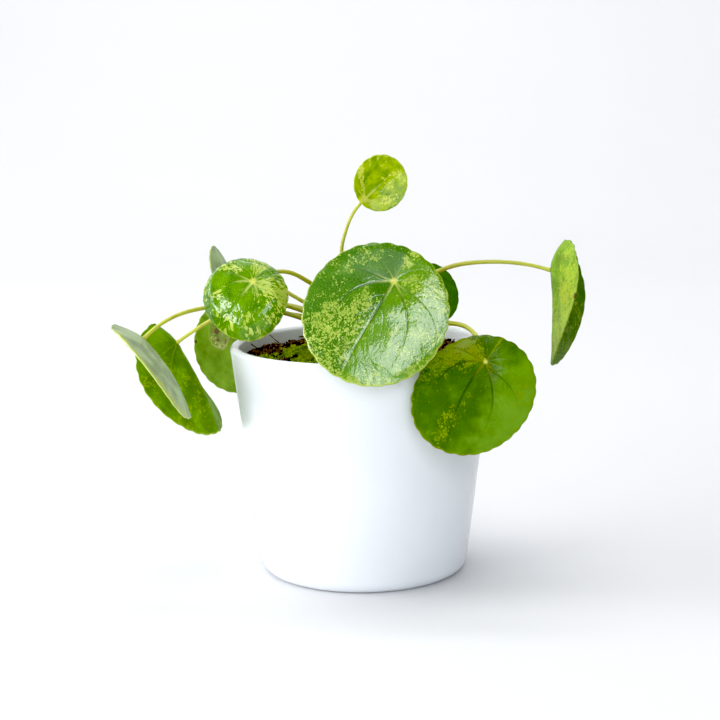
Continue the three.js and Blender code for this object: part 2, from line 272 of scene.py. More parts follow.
AIR_COLOUR = (0.99, 1.0, 0.99, 1.0)
AIR_LEFT = 0.48
AIR_RIGHT = 0.2
BLACK_LEVEL = (0.03, 0.03, 0.03)
air = Look("studio_air", bpy.data.worlds)
rightward = air.add("SeparateXYZ", {"Vector": air.add("TexCoord", {}, "Generated")}, "X")
sky = air.tree.nodes["Background"].inputs
air.plug(sky, "Color", AIR_COLOUR)
air.plug(sky, "Strength", air.between(rightward, -1.0, 1.0, AIR_LEFT, AIR_RIGHT))
bpy.context.scene.world = air.owner
grading = bpy.context.scene.view_settings
grading.view_transform = "Standard"
grading.use_curve_mapping = True
grading.curve_mapping.black_level = BLACK_LEVEL
grading.curve_mapping.update()
print("studio: floor and", len(bpy.data.lights), "soft boxes")

# %% [markdown]
# ## The pot
#
# A slip-cast cover pot: a plain cone with a full round lip, a rounded foot edge and a thin
# wall. It could be a profile spun round its axis. Here it is drawn as a potter would see
# it, from a cone whose end faces are pulled on ring by ring: the bottom one round the
# foot, the top one over the lip and down inside to the floor. Its sizes are read from the
# solid's box, and only wall, floor and foot are named again.

# %% Pot sizes
pot_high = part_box("pot")[1]
POT_HEIGHT = pot_high.z
POT_RIM = pot_high.x
POT_FOOT = 47.8 * MM
POT_FOOT_ROUND = 6.0 * MM
POT_WALL = 4.2 * MM
POT_FLOOR = 6.0 * MM
POT_SIDES = 256
LIP_STEPS = 14
FOOT_STEPS = 8
SOIL_LEVEL = 99.4 * MM
GLAZE_ROUGH = 0.24
RAW_ROUGH = 0.75

wall_slope = (POT_RIM - POT_FOOT) / POT_HEIGHT
lip_radius = POT_WALL / 2


def inner_radius(height):
    return POT_FOOT + wall_slope * height - POT_WALL


# %% Pot
def pull_rings(radius, height, profile):
    """Extrudes the selected round face through rings, each a radius and a height."""
    for next_radius, next_height in profile:
        move = (0, 0, next_height - height)
        bpy.ops.mesh.extrude_region_move(TRANSFORM_OT_translate={"value": move})
        share = next_radius / radius
        bpy.ops.transform.resize(value=(share, share, 1))
        radius, height = next_radius, next_height


def select_end_face(obj, up):
    """Selects only the flat end face whose normal points up (1) or down (-1)."""
    bpy.ops.object.mode_set(mode="OBJECT")
    for part in (obj.data.vertices, obj.data.edges, obj.data.polygons):
        part.foreach_set("select", [False] * len(part))
    flat = [face for face in obj.data.polygons if face.normal.z * up > 0.9]
    biggest = max(flat, key=lambda face: len(face.vertices))
    biggest.select = True
    bpy.ops.object.mode_set(mode="EDIT")
    bpy.ops.mesh.select_mode(type="FACE")


def arc(centre_radius, centre_height, size, first, last, steps):
    """Rings along an arc of the pot's section, in degrees, without the first point."""
    rings = []
    for step in range(1, steps + 1):
        angle = math.radians(first + (last - first) * step / steps)
        rings.append((centre_radius + size * math.cos(angle), centre_height + size * math.sin(angle)))
    return rings


def make_pot():
    wall_bottom = POT_FOOT_ROUND
    wall_top = POT_HEIGHT - lip_radius
    bpy.ops.mesh.primitive_cone_add(
        vertices=POT_SIDES,
        radius1=POT_FOOT,
        radius2=POT_RIM,
        depth=wall_top - wall_bottom,
        location=(0, 0, (wall_bottom + wall_top) / 2),
    )
    pot = bpy.context.object
    pot.name = "pot_glazed"
    bpy.ops.object.transform_apply(location=True, rotation=False, scale=False)
    foot_centre = POT_FOOT - POT_FOOT_ROUND
    select_end_face(pot, -1)
    foot = arc(foot_centre, POT_FOOT_ROUND, POT_FOOT_ROUND, 0, -90, FOOT_STEPS)
    foot += [(foot_centre * 0.9, 0.0), (foot_centre * 0.5, 0.0)]
    pull_rings(POT_FOOT, wall_bottom, foot)
    select_end_face(pot, 1)
    lip = arc(POT_RIM - lip_radius, wall_top, lip_radius, 0, 180, LIP_STEPS)
    inside = [(inner_radius(SOIL_LEVEL), SOIL_LEVEL)]
    corner = POT_FLOOR + POT_WALL
    inside += [(inner_radius(corner), corner), (inner_radius(POT_FLOOR) - POT_WALL, POT_FLOOR)]
    pull_rings(POT_RIM, wall_top, lip + inside)
    bpy.ops.object.mode_set(mode="OBJECT")
    bpy.ops.object.shade_smooth_by_angle(angle=math.radians(40))
    return pot


def glaze():
    """White gloss glaze, a little cool, thin over the lip, on a foot that is left raw."""
    look = Look("white_glaze")
    place = look.place()
    height = look.add("SeparateXYZ", {"Vector": place}, "Z")
    cloudy = look.noise(place, 30 * MM, detail=3)
    white = look.mix(cloudy, rgb(229, 233, 239), rgb(237, 241, 246))
    lip = look.between(height, POT_HEIGHT - 1.5 * MM, POT_HEIGHT)
    white = look.lay(white, rgb(226, 228, 228), lip, 0.25)
    raw = look.between(height, 0.15 * MM, 0.45 * MM, 1, 0)
    colour = look.mix(raw, white, rgb(222, 214, 200))
    rough = look.between(raw, 0.0, 1.0, GLAZE_ROUGH, RAW_ROUGH)
    waves = look.noise(look.placed(place, stretch=(1, 1, 0.4)), 20 * MM, detail=1)
    pits = look.between(look.noise(place, 1.2 * MM, detail=1), 0.22, 0.3)
    surface = look.bumped(waves, 0.12 * MM)
    surface = look.bumped(pits, 0.03 * MM, 0.5, surface)
    look.shade(Base_Color=colour, Roughness=rough, Normal=surface)
    look.shade(Coat_Weight=0.15, Coat_Roughness=0.12)
    return look.owner


pot = make_pot()
pot.data.materials.append(glaze())
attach(pot, "root")
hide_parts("pot")
print("pot:", len(pot.data.polygons), "faces")

# %% [markdown]
# ## Wrapping a grid
#
# Soil, stalk, petioles and blades are all curved skins. A flat grid is the start for each:
# a formula moves its vertices to where they belong, the seam and the poles are merged and
# the faces are turned outward. Sculpting would give as lively a form, but a formula keeps
# the skin on the solid that it stands for.

# %% Grid helpers
WELD_GAP = 2e-6


def smooth_step(value, low, high):
    share = np.clip((value - low) / (high - low), 0, 1)
    return share * share * (3 - 2 * share)


def value_noise(x, y, size, seed):
    """Smooth random hills between -1 and 1, size apart, the same for the same seed."""
    table = np.random.default_rng(seed).uniform(-1, 1, (64, 64))
    across, down = np.asarray(x) / size, np.asarray(y) / size
    column, row = np.floor(across).astype(int), np.floor(down).astype(int)
    right, low = across - column, down - row
    right, low = right * right * (3 - 2 * right), low * low * (3 - 2 * low)

    def corner(k, m):
        return table[(row + m) % 64, (column + k) % 64]

    top = corner(0, 0) * (1 - right) + corner(1, 0) * right
    bottom = corner(0, 1) * (1 - right) + corner(1, 1) * right
    return top * (1 - low) + bottom * low


def wrap_grid(name, columns, rows, place):
    """A closed skin. place turns shares round and along into points in metres and, by
    name, values for each vertex."""
    bpy.ops.mesh.primitive_grid_add(x_subdivisions=columns, y_subdivisions=rows, size=1)
    skin = bpy.context.object
    skin.name = name
    flat = np.zeros(len(skin.data.vertices) * 3)
    skin.data.vertices.foreach_get("co", flat)
    flat = flat.reshape(-1, 3) + 0.5
    points, values = place(np.clip(flat[:, 0], 0, 1), np.clip(flat[:, 1], 0, 1))
    skin.data.vertices.foreach_set("co", points.ravel())
    for key, numbers in values.items():
        kind, field = ("FLOAT_VECTOR", "vector") if numbers.ndim == 2 else ("FLOAT", "value")
        carried = skin.data.attributes.new(key, kind, "POINT")
        carried.data.foreach_set(field, numbers.astype(np.float32).ravel())
    bpy.ops.object.mode_set(mode="EDIT")
    bpy.ops.mesh.select_all(action="SELECT")
    bpy.ops.mesh.remove_doubles(threshold=WELD_GAP)
    bpy.ops.mesh.normals_make_consistent(inside=False)
    bpy.ops.object.mode_set(mode="OBJECT")
    bpy.ops.object.shade_smooth()
    while skin.data.uv_layers:
        skin.data.uv_layers.remove(skin.data.uv_layers[0])
    return skin


# %% [markdown]
# ## The leaves' sizes
#
# One table says how each leaf grows, in millimetres, as the solids were made: where its
# petiole meets the blade, the way of its midrib and face, its round outline, how it folds,
# droops and rolls, and the points that its petiole runs through on its way there. A look
# follows: greens, of which the light one also serves as painted sheen, and the flecks'
# colour and coarseness; drawn pulls the flecks out along the rays; gloss and shine say how
# rough and how shiny the skin is, relief and rumple how high its fine and its wide swells
# are; veins says how dark the veins are, partly their own deeper green and partly painted
# shade in their grooves, and veer turns their pattern by some degrees; navel is the radius
# of the pale spot over the petiole; painted_sheen_side and painted_sheen_reach paint the
# left half paler, as painted sheen, and the right half deeper, as painted shade, over some
# millimetres beside the midrib; shows and streaks say how strongly flecks and pale streaks
# show underneath. Ridges are raised (from and to an angle, share of the way to the margin,
# height). Patches are pale where flecks crowd and dull where wax dims the skin (angle from
# the tip toward the left, spread, near and far share, strength). Spots are brown (angle,
# share, size). What a leaf doesn't name is usual.

# %% Leaf table
USUAL_LEAF = dict(
    oval=0, skew=0, lessening=0, uneven=0, droop=0, lift=0, dimple=0, roll=0, ridges=[],
    coarse=1, drawn=None, gloss=0.45, shine=0.5, relief=1, rumple=0.1, veins=0.6, veer=0, navel=1.5,
    # The side strength and reach paint one half of a blade paler, as painted sheen, and the other
    # deeper, as painted shade.
    painted_sheen_side=0, painted_sheen_reach=3, shows=0.5, streaks=0.25, pale=[], dull=[], spots=[],
)
LEAF_TABLE = [
    dict(
        name="01_top", at=(2.4, -6, 171.1), tip=(0.7, 0.13, 0.7), face=(0.14, -0.98, 0.08),
        radius=12.5, shift=10.2, oval=0.01, skew=0.025, scallops=16, hinge=44, fold=40, droop=-0.006,
        stem=[(5, -0.4, 117.6), (0.6, -2.4, 127), (-6.6, -3.8, 139), (-8.3, -4, 147.5),
              (-6.1, -3.6, 157.3), (-2.6, -3.2, 165), (0.9, -2.6, 169.4)], stem_radius=1.0,
        dark=(84, 138, 0), light=(182, 203, 4), fleck=(216, 220, 96), under=(150, 180, 60),
        coarse=1.2, gloss=0.1, shine=0.22, relief=0.5, rumple=0.2, veins=0.3,
        ridges=[(30, 75, 0.75, 0.5)],
        pale=[(54, 9, 0.2, 1.2, 0.9), (-50, 18, 0.4, 1.2, 0.6), (-12, 26, 0.45, 0.9, 0.5),
              (180, 60, 0.2, 1.2, 0.55), (20, 20, 0.7, 1.2, 0.4)],
    ),
    dict(
        name="02_left", at=(-47.6, -20, 136.8), tip=(-0.6, -0.42, -0.68), face=(-0.06, -0.82, 0.57),
        radius=19.9, shift=7.4, oval=-0.011, scallops=22, hinge=66, fold=-60, droop=0.034,
        dimple=1.2, roll=3,
        stem=[(4.2, -0.8, 113.4), (-9, -2.4, 123.4), (-22, -4, 133.2), (-32.4, -8, 139.2),
              (-42.6, -11, 139.2), (-47, -15.2, 137.6)], stem_radius=1.2,
        dark=(54, 114, 0), light=(108, 158, 2), fleck=(206, 218, 106), under=(130, 165, 50),
        coarse=0.95, drawn=2.2, gloss=0.1, relief=0.3, rumple=0.07, veins=0.25,
        ridges=[(-125, 45, 0.8, 1.3)],
        pale=[(-94, 20, 0.4, 1.2, 0.7), (-158, 34, 0.25, 1.2, 0.72), (98, 58, 0.12, 1.2, 0.74),
              (40, 34, 0.5, 1.2, 0.46), (0, 30, 0.62, 1.2, 0.32), (-32, 22, 0.5, 0.85, 0.6),
              (-60, 30, 0.8, 1.2, 0.45), (10, 60, 0.1, 0.3, 0.3)],
    ),
    dict(
        name="03_front", at=(14, -60, 141), tip=(-0.51, -0.32, -0.79), face=(-0.05, -0.91, 0.4),
        radius=31.2, shift=15.8, oval=0.009, skew=-0.014, scallops=28, hinge=138, fold=-60,
        droop=0.0056, dimple=1.4,
        stem=[(5.2, -0.9, 112), (7, -10, 123), (9.5, -27, 134.5), (12, -44, 141), (13.6, -53, 142.4)],
        stem_radius=1.4,
        dark=(54, 110, 0), light=(92, 142, 6), fleck=(184, 202, 88), under=(120, 155, 60),
        # Its left half is painted paler as painted sheen, and its right half deeper as painted shade.
        coarse=0.82, gloss=0.14, shine=0.9, relief=1.2, rumple=0.05, painted_sheen_side=0.8,
        dull=[(-130, 58, 0.0, 0.8, 1)],
        pale=[(-22, 25, 0.22, 1.3, 0.62), (-104, 46, 0.5, 1.1, 0.4), (172, 15, 0.4, 1.2, 0.8),
              (108, 34, 0.1, 1.2, 0.6), (50, 36, 0.25, 1.2, 0.45), (8, 40, 0.86, 1.2, 0.6)],
    ),
    dict(
        name="04_right_front", at=(52.2, -60, 106.2), tip=(-0.32, -0.2, -0.93),
        face=(0.05, -0.98, 0.2),
        radius=26.3, shift=15.1, oval=0.018, skew=-0.077, scallops=28, hinge=67, fold=-60,
        droop=0.0059, dimple=1.2,
        stem=[(5.8, -0.6, 106.4), (20, -9, 112.6), (33, -19, 116.6), (42.3, -28, 117.5),
              (47.2, -40, 116.8), (50.4, -50, 113.4), (51.8, -56.6, 109)], stem_radius=1.3,
        # Its bluish light green serves as painted sheen on its left half, and the right half is
        # painted deeper as shade.
        dark=(62, 101, 1), light=(114, 158, 46), fleck=(136, 146, 12), under=(115, 150, 55),
        coarse=0.65, gloss=0.2, shine=0.16, relief=0.6, rumple=0.08, veer=-24, navel=0.9, painted_sheen_side=1,
        painted_sheen_reach=24,
        dull=[(-35, 62, 0.0, 0.7, 1)],
        pale=[(-104, 52, 0.05, 1.2, 0.98), (163, 3, 0.05, 1.0, 1.3), (-14, 8, 0.4, 1.0, 0.5),
              (66, 20, 0.5, 0.8, 0.45), (80, 40, 0.88, 1.2, 0.5)],
    ),
    dict(
        name="05_far_right", at=(86.6, -2, 137.2), tip=(0.01, -0.32, -0.95),
        face=(0.99, -0.13, 0.05),
        radius=28.3, shift=15, scallops=26, hinge=9, fold=36, lessening=5.6, uneven=3.3,
        droop=0.0027, lift=0.036, dimple=0.4,
        stem=[(5.9, 0.2, 114.4), (16, -0.2, 125.6), (25, -0.6, 132.6), (36, -1, 137.9),
              (45, -1.4, 140.6), (56, -2, 141.6), (68, -2, 141.2), (78, -2, 139.6)], stem_radius=1.2,
        dark=(58, 98, 0), light=(84, 122, 2), fleck=(140, 160, 70), under=(122, 162, 54), shine=0.1,
        rumple=0.12, shows=0.7,
        pale=[(20, 70, 0.3, 1.2, 0.5), (-50, 50, 0.3, 1.2, 0.7), (-120, 40, 0.5, 1.2, 0.4)],
        spots=[(-86, 0.99, 1.4)],
    ),
    dict(
        name="06_far_left", at=(-96, -30, 113.2), tip=(0.73, -0.11, -0.67),
        face=(-0.67, 0.03, -0.74),
        radius=27.7, shift=13.4, oval=-0.005, skew=-0.011, scallops=26, hinge=9, fold=15,
        lessening=4, uneven=-18.3, droop=-0.0145, lift=0.01, dimple=0.4,
        stem=[(4, -1, 106.4), (-12, -4.2, 111.4), (-26, -6, 117.6), (-40, -6.4, 122),
              (-56, -6, 124.4), (-70.9, -8.4, 123.6), (-82.2, -16, 121.6), (-91, -25, 117.4)],
        stem_radius=1.2,
        # Its underside green is greyed by painted sheen.
        dark=(96, 130, 34), light=(132, 160, 62), fleck=(200, 210, 136), under=(168, 186, 148),
        coarse=0.8, shows=0.9,
        pale=[(66, 56, 0.88, 1.2, 1.3)],
    ),
    dict(
        name="07_lower_left", at=(-86.9, 18, 103.3), tip=(0.56, -0.17, -0.81),
        face=(-0.79, 0.16, -0.59),
        radius=30.2, shift=16.2, scallops=28, hinge=9, fold=38, lessening=5.8, uneven=4,
        droop=-0.007, lift=0.014, dimple=0.4,
        stem=[(4, 0.5, 108.6), (-12, 3.4, 113.4), (-26, 5, 119.4), (-38, 6.6, 122.8), (-50, 9, 123),
              (-61, 11.4, 119.2), (-70.5, 14, 114.2), (-79.4, 16.2, 108.6)], stem_radius=1.2,
        dark=(66, 108, 4), light=(94, 138, 8), fleck=(170, 190, 80), under=(104, 146, 6), coarse=1.5,
        shows=0.4, streaks=0.06,
        pale=[(20, 70, 0.3, 1.2, 0.4), (-90, 60, 0.4, 1.2, 0.35)],
    ),
    dict(
        name="08_rear_left", at=(-69.6, 60, 102.2), tip=(0.64, 0.14, -0.76),
        face=(-0.66, 0.61, -0.44),
        radius=23.8, shift=11.7, scallops=26, hinge=60, fold=20, droop=0.004, dimple=0.6,
        stem=[(4.2, 0.9, 105.4), (-8, 10.4, 111), (-24, 22.6, 117), (-39, 35, 118.6),
              (-52, 46, 114.6), (-62.4, 54.6, 108.4)], stem_radius=1.15,
        # Its underside green is partly its own and partly painted light, shining through the thin
        # blade.
        dark=(60, 104, 5), light=(84, 126, 10), fleck=(160, 180, 80), under=(140, 178, 66),
        gloss=0.4, rumple=0.08,
        spots=[(140, 0.97, 1.0)],
    ),
    dict(
        name="09_back", at=(-65.7, 36, 136.3), tip=(0.38, 0.16, -0.91), face=(-0.92, 0.12, -0.36),
        radius=19.6, shift=8.4, scallops=20, hinge=9, fold=4, dimple=0.4,
        stem=[(4.2, 0.8, 112), (-12, 8, 116.2), (-26, 13, 122.4), (-38, 19, 128.8), (-50, 26, 134.6),
              (-59.4, 32.4, 137)], stem_radius=1.1,
        dark=(78, 120, 14), light=(104, 146, 20), fleck=(176, 196, 100), under=(172, 196, 146),
        gloss=0.4,
        pale=[(30, 80, 0.3, 1.2, 0.5), (170, 50, 0.4, 1.2, 0.4)],
    ),
    dict(
        name="10_rear_right", at=(32, 32, 129), tip=(0.3, -0.3, -0.9), face=(0.35, -0.75, 0.55),
        radius=15, shift=6, scallops=20, hinge=60, fold=-40, droop=0.01, dimple=0.6,
        stem=[(5.5, 0.8, 110.4), (9.6, 14, 118), (15, 28, 125), (22, 37, 129.4), (28.4, 39, 130.6)],
        stem_radius=1.0,
        dark=(58, 106, 3), light=(80, 130, 6), fleck=(140, 168, 60), under=(120, 155, 60), gloss=0.3,
        pale=[(-90, 60, 0.3, 1.2, 0.4)],
    ),
    dict(
        name="11_old", at=(-61.8, -4, 116), tip=(-0.14, 0.04, -1), face=(-0.7, -0.7, 0.14),
        radius=8, shift=4.4, oval=0.03, scallops=14, hinge=8, fold=24, droop=-0.02,
        stem=[(4, -0.3, 111), (-12, -1.4, 114.6), (-26, -2, 118.4), (-40, -2.4, 120.4),
              (-52, -2.8, 120.2), (-58, -3.2, 118)], stem_radius=0.9,
        dark=(88, 114, 10), light=(116, 136, 30), fleck=(176, 180, 112), under=(150, 156, 90),
        gloss=0.6, rumple=0.25,
        pale=[(0, 60, 0.72, 1.2, 0.7)],
        spots=[(-60, 0.55, 1.6), (-20, 0.7, 1.2), (40, 0.75, 1.5), (80, 0.5, 1.1)],
    ),
]


def whole_leaf(row):
    """A row of the table with the usual values filled in and its colours made linear."""
    leaf = {**USUAL_LEAF, **row}
    leaf["seed"] = int(row["name"][:2])
    leaf["stem"] = [*row["stem"], row["at"]]
    for key in ("dark", "light", "fleck", "under"):
        leaf[key] = rgb(*row[key])
    return leaf


LEAVES = [whole_leaf(row) for row in LEAF_TABLE]
print("leaves:", len(LEAVES))

# %% [markdown]
# ## A blade's middle surface
#
# A flat place on the leaf, measured along its midrib and across it, goes to a place on
# the bent one: the halves turn over a round hinge, the tip droops, a hollow lies over the
# petiole and the margin rolls. Two skins will lie half a thickness above and below it.

# %% Blade form
DIMPLE_SPREAD = 7.0
ROLL_START = 0.55
SCALLOP_DEPTH = 0.018
SCALLOP_UNEVEN = 0.3


def unit(vector):
    vector = np.asarray(vector, float)
    return vector / np.linalg.norm(vector)


def leaf_axes(leaf):
    """Rows: toward the tip, to the left, up from the face."""
    tip = unit(leaf["tip"])
    face = np.asarray(leaf["face"], float)
    face = unit(face - tip * (face @ tip))
    return np.stack([tip, np.cross(face, tip), face])


def bend_flat(leaf, along, across, share):
    """Places on the bent blade, in its own directions, in millimetres."""
    side = np.sign(across)
    width = np.abs(across)
    up = math.copysign(1, leaf["fold"])
    turn = abs(leaf["fold"]) - leaf["lessening"] * along / 10 + leaf["uneven"] * side
    angle = np.minimum(width / leaf["hinge"], np.radians(np.maximum(turn, 0)))
    straight = width - leaf["hinge"] * angle
    y = side * (leaf["hinge"] * np.sin(angle) + straight * np.cos(angle))
    z = up * (leaf["hinge"] * (1 - np.cos(angle)) + straight * np.sin(angle))
    x = along
    if leaf["droop"]:
        x = np.sin(leaf["droop"] * along) / leaf["droop"]
        z = z - (1 - np.cos(leaf["droop"] * along)) / leaf["droop"]
    z = z + leaf["dimple"] * (1 - np.exp(-(along**2 + across**2) / DIMPLE_SPREAD**2))
    z = z + leaf["lift"] * np.minimum(along, 0) ** 2
    rolled = np.maximum((share - ROLL_START) / (1 - ROLL_START), 0)
    z = z - leaf["roll"] * rolled**2
    return np.stack([x, y, z], axis=-1)


def margin_radius(leaf, angle):
    """The outline's radius: nearly round, with shallow scallops that meet in narrow notches."""
    oval = leaf["oval"] * np.cos(2 * angle) + leaf["skew"] * np.sin(2 * angle)
    wave = 0.5 + 0.5 * np.cos(leaf["scallops"] * angle)
    around = (np.cos(angle) * 4 + 9, np.sin(angle) * 4 + 9)
    uneven = 0.8 + SCALLOP_UNEVEN * value_noise(*around, 1.3, leaf["seed"])
    return leaf["radius"] * (1 + oval - SCALLOP_DEPTH * uneven * wave**1.6)


def flat_place(leaf, angle, share):
    radius = margin_radius(leaf, angle)
    return (leaf["shift"] + radius * np.cos(angle)) * share, radius * np.sin(angle) * share


def sheet(leaf, angle, share):
    along, across = flat_place(leaf, angle, share)
    return bend_flat(leaf, along, across, share)


def sheet_normals(leaf, angle, share):
    step = 1e-3
    near = np.maximum(share, 0.03)
    outward = sheet(leaf, angle, near + step) - sheet(leaf, angle, near - step)
    around = sheet(leaf, angle + step, near) - sheet(leaf, angle - step, near)
    normal = np.cross(outward, around)
    return normal / np.linalg.norm(normal, axis=-1, keepdims=True)


# %% [markdown]
# ## Veins
#
# From the petiole a midrib runs to the tip, and pairs of veins arch out beside it, forward
# and back. Each sends out side veins. On the upper face they lie in grooves, with the
# blade slightly puffed between them, and on the underside they stand up. They are drawn
# once, for a leaf of radius 1 whose petiole is half a radius from its middle, and are
# stretched to each leaf. A texture could hold them, but real grooves also catch the light.

# %% Veins
VEIN_SHIFT = 0.5
MAIN_VEINS = [  # strength, then the four points of a curve
    (1.0, (0, 0), (0.5, 0.01), (0.9, -0.015), (1.42, 0.0)),
    (0.8, (0, 0), (0.2, 0.36), (0.5, 0.62), (1.12, 0.5)),
    (0.65, (0, 0), (0.08, 0.3), (0.0, 0.6), (0.34, 0.86)),
    (0.5, (0, 0), (-0.12, 0.15), (-0.22, 0.38), (-0.1, 0.74)),
    (0.4, (0, 0), (-0.15, 0.05), (-0.3, 0.14), (-0.34, 0.42)),
    (0.45, (0, 0), (-0.15, 0.0), (-0.3, -0.01), (-0.44, 0.0)),
]
PAIRED = (1, 2, 3, 4)
BRANCHED = (0, 1, 2)
CURVE_POINTS = 20
SIDE_POINTS = 8
SIDE_VEIN_SPOTS = (0.24, 0.42, 0.6, 0.78)
SIDE_VEIN_STRENGTH = 0.34
SIDE_VEIN_REACH = (0.24, 0.38)


def curve_points(points, count):
    """Points along a curve of four control points."""
    p = [np.array(point, float) for point in points]
    t = np.linspace(0, 1, count)[:, None]
    near, far = 3 * t * (1 - t) ** 2, 3 * t**2 * (1 - t)
    return p[0] * (1 - t) ** 3 + p[1] * near + p[2] * far + p[3] * t**3


def side_veins(main, strength, draw):
    """Thin veins that leave a main one to both sides and bend toward its end."""
    made = []
    for share in SIDE_VEIN_SPOTS:
        for side in (1, -1):
            spot = share + draw.uniform(-0.04, 0.04) + 0.05 * side
            k = min(int(spot * (len(main) - 1)), len(main) - 2)
            way = unit(main[k + 1] - main[k])
            away = np.array([-way[1], way[0]]) * side
            length = draw.uniform(*SIDE_VEIN_REACH)
            reach = [(0, 0), (0.2, 0.36), (0.6, 0.5 + draw.uniform(-0.1, 0.2)), (1.2, 0.72)]
            ends = [main[k] + (a * way + b * away) * length for a, b in reach]
            made.append((SIDE_VEIN_STRENGTH * strength, curve_points(ends, SIDE_POINTS)))
    return made


def vein_lines(leaf):
    """Every vein of a leaf in flat millimetres, with its strength."""
    draw = np.random.default_rng(100 + leaf["seed"])
    lines = []
    for number, (strength, *points) in enumerate(MAIN_VEINS):
        for mirror in (1, -1) if number in PAIRED else (1,):
            wobble = draw.uniform(-0.02, 0.02, (4, 2))
            wobble[0] = 0
            bent = [(x + w[0], y * mirror + w[1]) for (x, y), w in zip(points, wobble)]
            main = curve_points(bent, CURVE_POINTS)
            lines.append((strength, main))
            if number in BRANCHED:
                lines += side_veins(main, strength, draw)
    ahead = (leaf["shift"] / leaf["radius"] + 1) / (VEIN_SHIFT + 1)
    behind = (1 - leaf["shift"] / leaf["radius"]) / (1 - VEIN_SHIFT)
    fitted = []
    for strength, line in lines:
        along = np.where(line[:, 0] > 0, line[:, 0] * ahead, line[:, 0] * behind)
        veer = np.radians(leaf["veer"]) * (1 - 0.5 * np.hypot(along, line[:, 1]))
        turned_along = along * np.cos(veer) - line[:, 1] * np.sin(veer)
        turned_across = along * np.sin(veer) + line[:, 1] * np.cos(veer)
        turned = np.stack([turned_along, turned_across], axis=-1)
        fitted.append((strength, turned * leaf["radius"]))
    return fitted


def vein_relief(lines, along, across, width):
    """How near a place is to a vein: 1 on a strong one, and about 0 beyond width in mm."""
    relief = np.zeros_like(along)
    reach = 2.2 * width
    for strength, line in lines:
        low, high = line.min(axis=0) - reach, line.max(axis=0) + reach
        inside = (along > low[0]) & (along < high[0]) & (across > low[1]) & (across < high[1])
        near = np.nonzero(inside)[0]
        place = np.stack([along[near], across[near]], axis=-1)
        count = len(line) - 1
        for k in range(count):
            way = line[k + 1] - line[k]
            share = np.clip((place - line[k]) @ way / (way @ way), 0, 1)
            gap = ((place - line[k] - share[:, None] * way) ** 2).sum(axis=1)
            fading = strength * (1 - 0.7 * (k + share) / count)
            drop = fading * np.exp(-gap / (width * (0.5 + 0.5 * fading)) ** 2)
            relief[near] = np.maximum(relief[near], drop)
    return relief


# %% [markdown]
# ## Pale patches
#
# A variegated leaf lacks pigment in flecks that crowd in some sectors and miss others.
# Each vertex carries how crowded its place is; the flecks themselves come from noise in
# the material, where they can be finer than the mesh.

# %% Pale patches
RAY_RING = 0.7


def patch_density(patches, along, across, share):
    turned = np.degrees(np.arctan2(across, along))
    density = np.zeros_like(along)
    for angle, spread, near, far, strength in patches:
        off = (turned - angle + 180) % 360 - 180
        sector = np.exp(-(np.abs(off / spread) ** 3))
        begun = smooth_step(share, near - 0.12, near + 0.12)
        band = begun * (1 - smooth_step(share, far - 0.1, far + 0.1))
        density = np.maximum(density, strength * sector * band)
    return density


def fleck_place(leaf, along, across):
    """Where the fleck pattern is read: flat, or drawn out along the rays from the petiole."""
    if leaf["drawn"] is None:
        return np.stack([along, across, np.zeros_like(along)], axis=-1) * MM
    turned = np.arctan2(across, along)
    ring = RAY_RING * leaf["radius"]
    outward = np.hypot(along, across) / leaf["drawn"]
    return np.stack([ring * np.cos(turned), ring * np.sin(turned), outward], axis=-1) * MM


def painted_sheen_and_shade(leaf, midrib, along, across):
    """From 0 to 1, how far a place lies on the left of the midrib: painted sheen makes the green paler
    there, and painted shade makes it deeper on the right.
    """
    beside = across - np.interp(along, midrib[:, 0], midrib[:, 1], left=0)
    # Painted sheen on the left half and painted shade on the right, as strong as the side strength.
    return 0.5 + leaf["painted_sheen_side"] * (smooth_step(beside, -3, leaf["painted_sheen_reach"]) - 0.5)


def brown_spots(leaf, angle, share):
    """1 on a dead spot, 0 away from it."""
    along, across = flat_place(leaf, angle, share)
    brown = np.zeros_like(along)
    for spot_angle, spot_share, size in leaf["spots"]:
        spot = flat_place(leaf, np.radians(spot_angle), spot_share)
        gap = np.hypot(along - spot[0], across - spot[1])
        brown = np.maximum(brown, 1 - smooth_step(gap, 0.5 * size, 1.2 * size))
    return brown


# %% [markdown]
# ## A blade's two skins
#
# One grid goes from the middle of the upper face out to the margin, round its thin edge
# and back under to the middle of the underside. So the blade is one closed body, with the
# veins sunk on top and raised below, and a little waviness of its own.

# %% Blade
BLADE_THICKNESS = 0.7
EDGE_ROUND = 0.35
STEPS_PER_SCALLOP = 12
ROWS_PER_MM = (2.7, 1.5)  # above and below
LEAST_ROWS = 36
EDGE_ROWS = 8
GROOVE_WIDTH = 0.62
GROOVE_DEPTH = 0.28
PUFF = 0.13
PUFF_WIDTH = 4.0
RIDGE_WIDTH = 0.1
RIDGE_FADE = 25
MAIN_STRENGTH = 0.38
FULL_RELIEF_RADIUS = 25
WAVE_HEIGHT = 0.3
WAVE_SIZE = 9.0
RUMPLE_SIZE = 3.6


def face_rows(leaf):
    return [max(LEAST_ROWS, round(leaf["radius"] * per_mm)) for per_mm in ROWS_PER_MM]


def blade_rows(leaf, along_share):
    """Share of the way to the margin, and the side: 1 on the upper face, -1 underneath."""
    upper_rows, lower_rows = face_rows(leaf)
    rows = upper_rows + EDGE_ROWS + lower_rows
    row = along_share * rows
    start = 1 - EDGE_ROUND / leaf["radius"]
    upper = np.clip(row / upper_rows, 0, 1)
    lower = np.clip((rows - row) / lower_rows, 0, 1)
    turn = np.clip((row - upper_rows) / EDGE_ROWS, 0, 1) * math.pi
    share = np.minimum(upper, lower) * start + (1 - start) * np.sin(turn)
    return share, np.cos(turn)


